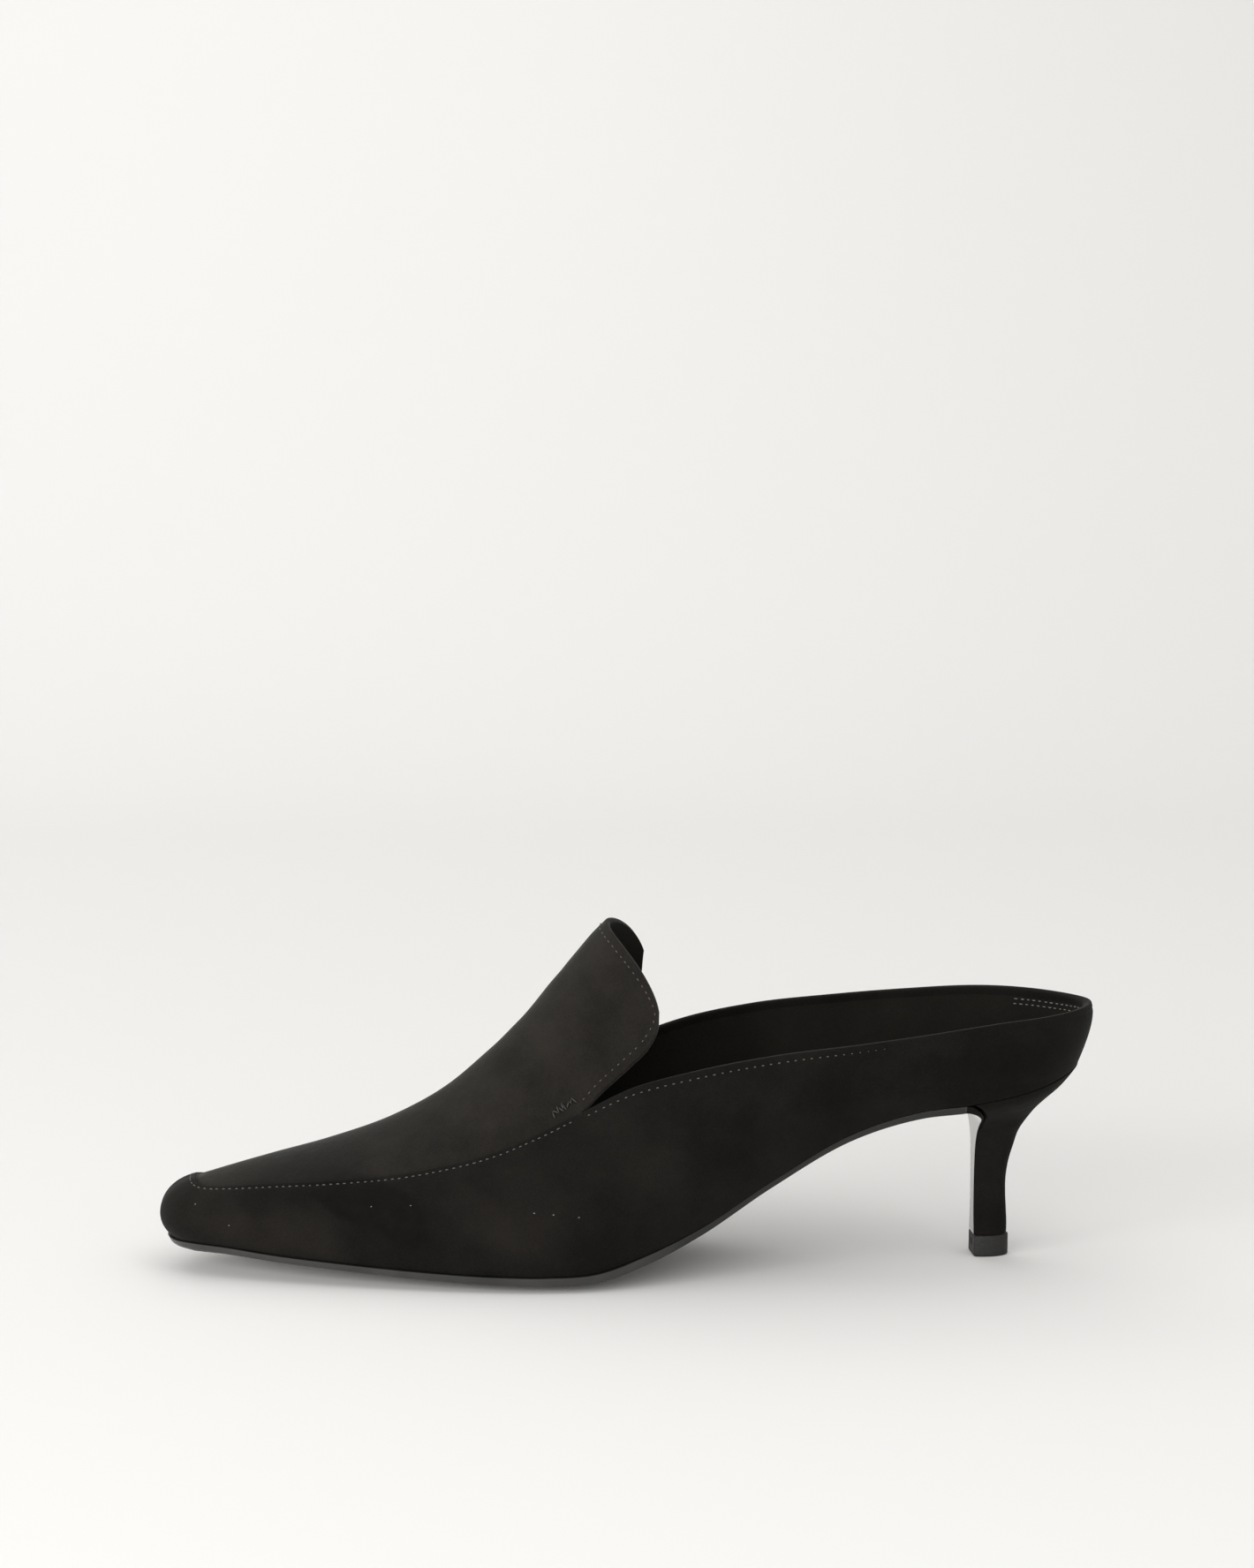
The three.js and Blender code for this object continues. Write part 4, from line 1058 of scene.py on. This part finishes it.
def stitch_row(name, path, normals, pitch, length, radius, look=THREAD_WITH_PAINTED_HIGHLIGHTS, jitter=0.12, sunk=0):
    """Short rounded threads along a path, each dipping into the leather at both ends."""
    run = distances(path)
    total = run[-1]
    count = int(total / pitch)
    sunk = np.zeros(len(path)) + sunk
    place_in = np.linspace(-1, 1, THREAD_RINGS)
    arch = np.cos(place_in * math.pi / 2)
    width = radius * (0.55 + 0.45 * arch ** 0.5)
    verts, faces = [], []
    for n in range(count):
        middle = (n + 0.5) * total / count + rng.normal(0, jitter * 0.5)
        size = length * (1 + rng.normal(0, 0.08))
        at = middle + place_in / 2 * size
        centre = between(at, run, path)
        normal = unit(between(at, run, normals))
        along = unit(np.gradient(centre, axis=0))
        side = unit(np.cross(normal, along))
        lift = radius * (1.9 * arch ** 0.6 - 1.1) + rng.normal(0, 0.02) - np.interp(middle, run, sunk)
        base = len(verts)
        for i in range(THREAD_RINGS):
            for a in range(THREAD_SIDES):
                angle = a / THREAD_SIDES * 2 * math.pi
                verts.append(centre[i] + normal[i] * (lift[i] + math.sin(angle) * width[i] * 0.85)
                             + side[i] * math.cos(angle) * width[i])
        for i in range(THREAD_RINGS - 1):
            own = base + i * THREAD_SIDES
            above = own + THREAD_SIDES
            for a in range(THREAD_SIDES):
                b = (a + 1) % THREAD_SIDES
                faces.append((own + a, own + b, above + b, above + a))
        faces.append(tuple(base + a for a in reversed(range(THREAD_SIDES))))
        faces.append(tuple(above + a for a in range(THREAD_SIDES)))
    mesh = bpy.data.meshes.new(name)
    mesh.from_pydata(place(verts).tolist(), [], faces)
    mesh.materials.append(look)
    mesh.shade_smooth()
    add_piece(name, mesh)


def wall_line(low, high, inset, inside=False, count=900):
    q = np.linspace(low, high, count)
    v = 1 - inset / wall_height(q)
    if inside:
        return wall_in(q, v, WALL), -wall_normal(q, v)
    return wrap_skin(q, v), wall_normal(q, v)


def tongue_line():
    """Runs up one free edge, across the end and down the other, inside the edge."""
    up_q = np.linspace(THROAT + 0.25, TONGUE_END, 260)
    end_gap = np.linalg.norm(apron(TONGUE_END, 0) - apron(TONGUE_END - 0.1, 0)) * 10
    stop = TONGUE_END - TONGUE_INSET / end_gap

    def side_share(q, side):
        step = np.linalg.norm(apron(q, side) - apron(q, 0.9 * side), axis=-1) / 0.1
        return side * (1 - TONGUE_INSET / step)

    up_q = up_q[up_q <= stop]
    left, right = side_share(up_q, -1), side_share(up_q, 1)
    turn = np.linspace(left[-1], right[-1], 200)
    q = np.concatenate([up_q, np.full(len(turn), stop), up_q[::-1]])
    s = np.concatenate([left, turn, right[::-1]])
    # Round the two corners of the row
    for _ in range(60):
        for line in (q, s):
            line[1:-1] = (line[:-2] + 2 * line[1:-1] + line[2:]) / 4
    return apron_skin(q, s), apron_normal(q, s)


TACK_ABOVE, TACK_BELOW, TACK_SHARE = 0.16, 0.46, 0.92
TACK_HALF, TACK_TURNS, TACK_RADIUS, TACK_PROUD = 1.2, 11, 0.19, 0.2

# Build
upper_piece()
apron_piece()
insole_piece()
outsole_piece()
heel_piece()
tip_piece()

seam_path, seam_normals = wall_line(-THROAT + 0.15, THROAT - 0.15, SEAM_INSET, count=2400)
stitch_row("apron_stitches", seam_path, seam_normals, 1.9, 1.0, 0.17)
collar_path, collar_normals = wall_line(THROAT + 0.1, LOOP - THROAT - 0.1, COLLAR_INSET, count=3000)
faded = 0.32 * smooth(collar_path[:, 0], 160, 215)
stitch_row("collar_stitches", collar_path, collar_normals, 2.25, 0.85, 0.18, sunk=faded)
tongue_path, tongue_normals = tongue_line()
stitch_row("tongue_stitches", tongue_path, tongue_normals, 2.2, 0.95, 0.18,
           TONGUE_THREAD_WITH_PAINTED_HIGHLIGHTS, 0.3)
for number, inset in enumerate((3.0, 4.6)):
    path, normals = wall_line(LAST - 2.2, LAST + 2.2, inset, True, 1200)
    stitch_row("lining_stitches_%d" % (number + 1), path, normals, 1.8, 1.1, 0.18,
               THREAD_WITH_PAINTED_GLINTS)


def bar_tack(name, side):
    """Close zigzag of thread that holds the throat, over the rim and the tongue."""
    edge_q = np.array([THROAT + TACK_ABOVE])
    share = side * np.array([TACK_SHARE])
    upper_end = apron_skin(edge_q, share)[0]
    lower_end = apron_skin(np.array([THROAT - TACK_BELOW]), share)[0]
    normal = apron_normal(edge_q, share)[0]
    run = upper_end - lower_end
    across = unit(np.cross(normal, unit(run)))
    path = []
    for i in range(TACK_TURNS):
        swing = TACK_HALF * (1 if i % 2 else -1) * (1 + rng.normal(0, 0.35))
        along = (i + rng.normal(0, 0.45)) / (TACK_TURNS - 1)
        path.append(lower_end + run * along + across * swing + normal * TACK_PROUD)
    fine = np.linspace(0, TACK_TURNS - 1, 200)
    path = between(fine, np.arange(TACK_TURNS), path)
    normals = np.repeat(normal[None], len(fine), 0)
    pitch = np.sum(spans(path)) / (TACK_TURNS - 1)
    stitch_row(name, path, normals, pitch, pitch, TACK_RADIUS, TACK_THREAD, 0.05)


bar_tack("bar_tack_lateral", -1)
bar_tack("bar_tack_medial", 1)


# Specks of lint on the near side of the wall: x and z in mm
SPECKS = [(10.3, 20.1), (19.6, 15.4), (58.6, 22.0), (68.9, 22.8), (102.0, 22.0), (107.2, 21.8),
          (114.1, 21.0)]
SPECK_SIZE = 0.17


def specks():
    q, v = np.meshgrid(np.linspace(0, THROAT + 1, 400), np.linspace(0.05, 0.95, 120))
    skin = wrap_skin(q, v)
    work = bmesh.new()
    for x, z in SPECKS:
        miss = (skin[..., 0] - x) ** 2 + (skin[..., 2] - z) ** 2
        spot = skin.reshape(-1, 3)[int(np.argmin(miss))]
        at = Matrix.Translation(Vector(place(spot)))
        squash = Matrix.Diagonal((1 + rng.uniform(0, 0.8), 0.6, 1 + rng.uniform(0, 0.5), 1))
        bmesh.ops.create_icosphere(work, subdivisions=1, radius=SPECK_SIZE * MM, matrix=at @ squash)
    mesh = bpy.data.meshes.new("lint_specks")
    work.to_mesh(mesh)
    work.free()
    mesh.materials.append(LINT)
    add_piece("lint_specks", mesh)


specks()


# Stage, light and camera
def floor_and_wall():
    """Pale floor that curves up into a wall far behind the shoe."""
    depth, bend, high, half, columns = 2.2, 1.2, 4.0, 4.0, 8
    profile = [(-3.0, 0.0), (depth - bend, 0.0)]
    for angle in np.linspace(0, math.pi / 2, 25)[1:]:
        profile.append((depth - bend + bend * math.sin(angle), bend - bend * math.cos(angle)))
    profile.append((depth, high))
    verts = [(x, y, z) for y, z in profile for x in np.linspace(-half, half, columns + 1)]
    row = columns + 1
    faces = [(r * row + c, r * row + c + 1, (r + 1) * row + c + 1, (r + 1) * row + c)
             for r in range(len(profile) - 1) for c in range(columns)]
    mesh = bpy.data.meshes.new("floor")
    mesh.from_pydata(verts, [], faces)
    mesh.shade_smooth()
    look, tree, shader, where = node_look("floor_paint")
    paint = two_colours(tree, noise(tree, where, 1.2, 2), (0.80, 0.797, 0.787), (0.82, 0.817, 0.807))
    tree.links.new(paint, shader.inputs["Base Color"])
    set_inputs(shader, Roughness=0.9)
    mesh.materials.append(look)
    add_object("floor", mesh)


def area_light(name, location, target, size, power, colour=(1, 1, 1)):
    data = bpy.data.lights.new(name, "AREA")
    data.shape, data.size, data.size_y = "RECTANGLE", size[0], size[1]
    data.energy, data.color = power, colour
    light = add_object(name, data)
    light.location = location
    light.rotation_euler = (Vector(target) - Vector(location)).to_track_quat("-Z", "Y").to_euler()


floor_and_wall()
WARM = (1.0, 0.988, 0.975)
area_light("key_light", (0.9, -1.3, 2.2), (0, 0, 0), (1.6, 1.6), 9, WARM)
area_light("top_light", (-0.3, 0.5, 2.6), (0, 0, 0), (2.6, 2.2), 10, WARM)
area_light("back_light", (-0.6, 1.7, 1.5), (0, 0, 0.05), (1.8, 1.0), 6, WARM)
area_light("front_light", (-0.9, -1.6, 0.55), (-0.05, 0, 0), (2.6, 0.9), 33, WARM)
area_light("toe_light", (-1.7, -0.6, 0.35), (-0.1, 0, 0), (1.4, 0.5), 14, WARM)
world = bpy.data.worlds.new("soft_room")
world.use_nodes = True
world.node_tree.nodes["Background"].inputs["Color"].default_value = (1, 0.995, 0.985, 1)
world.node_tree.nodes["Background"].inputs["Strength"].default_value = 0.55
bpy.context.scene.world = world
bpy.context.scene.view_settings.view_transform = "Standard"

AZIMUTH, PITCH, ROLL, FOCAL, WIDTH, DISTANCE = -4.5, 6.2, 0.3, 3900, 1420, 955.6
TARGET = np.array([129.61, 0, 134.28])
SENSOR = 36


def photo_camera():
    a, e, r = (math.radians(v) for v in (AZIMUTH, PITCH, ROLL))
    back = np.array([math.sin(a) * math.cos(e), -math.cos(a) * math.cos(e), math.sin(e)])
    right = np.array([math.cos(a), math.sin(a), 0.0])
    up = np.cross(back, right)
    turned_right = right * math.cos(r) + up * math.sin(r)
    turned_up = up * math.cos(r) - right * math.sin(r)
    data = bpy.data.cameras.new("photo_camera")
    data.sensor_fit, data.sensor_width = "HORIZONTAL", SENSOR
    data.lens = FOCAL / WIDTH * SENSOR
    data.clip_start, data.clip_end = 0.05, 50
    camera = add_object("photo_camera", data)
    spot = place(TARGET + back * DISTANCE)
    matrix = np.eye(4)
    matrix[:3, 0], matrix[:3, 1], matrix[:3, 2], matrix[:3, 3] = turned_right, turned_up, back, spot
    camera.matrix_world = Matrix(matrix.tolist())
    bpy.context.scene.camera = camera


photo_camera()
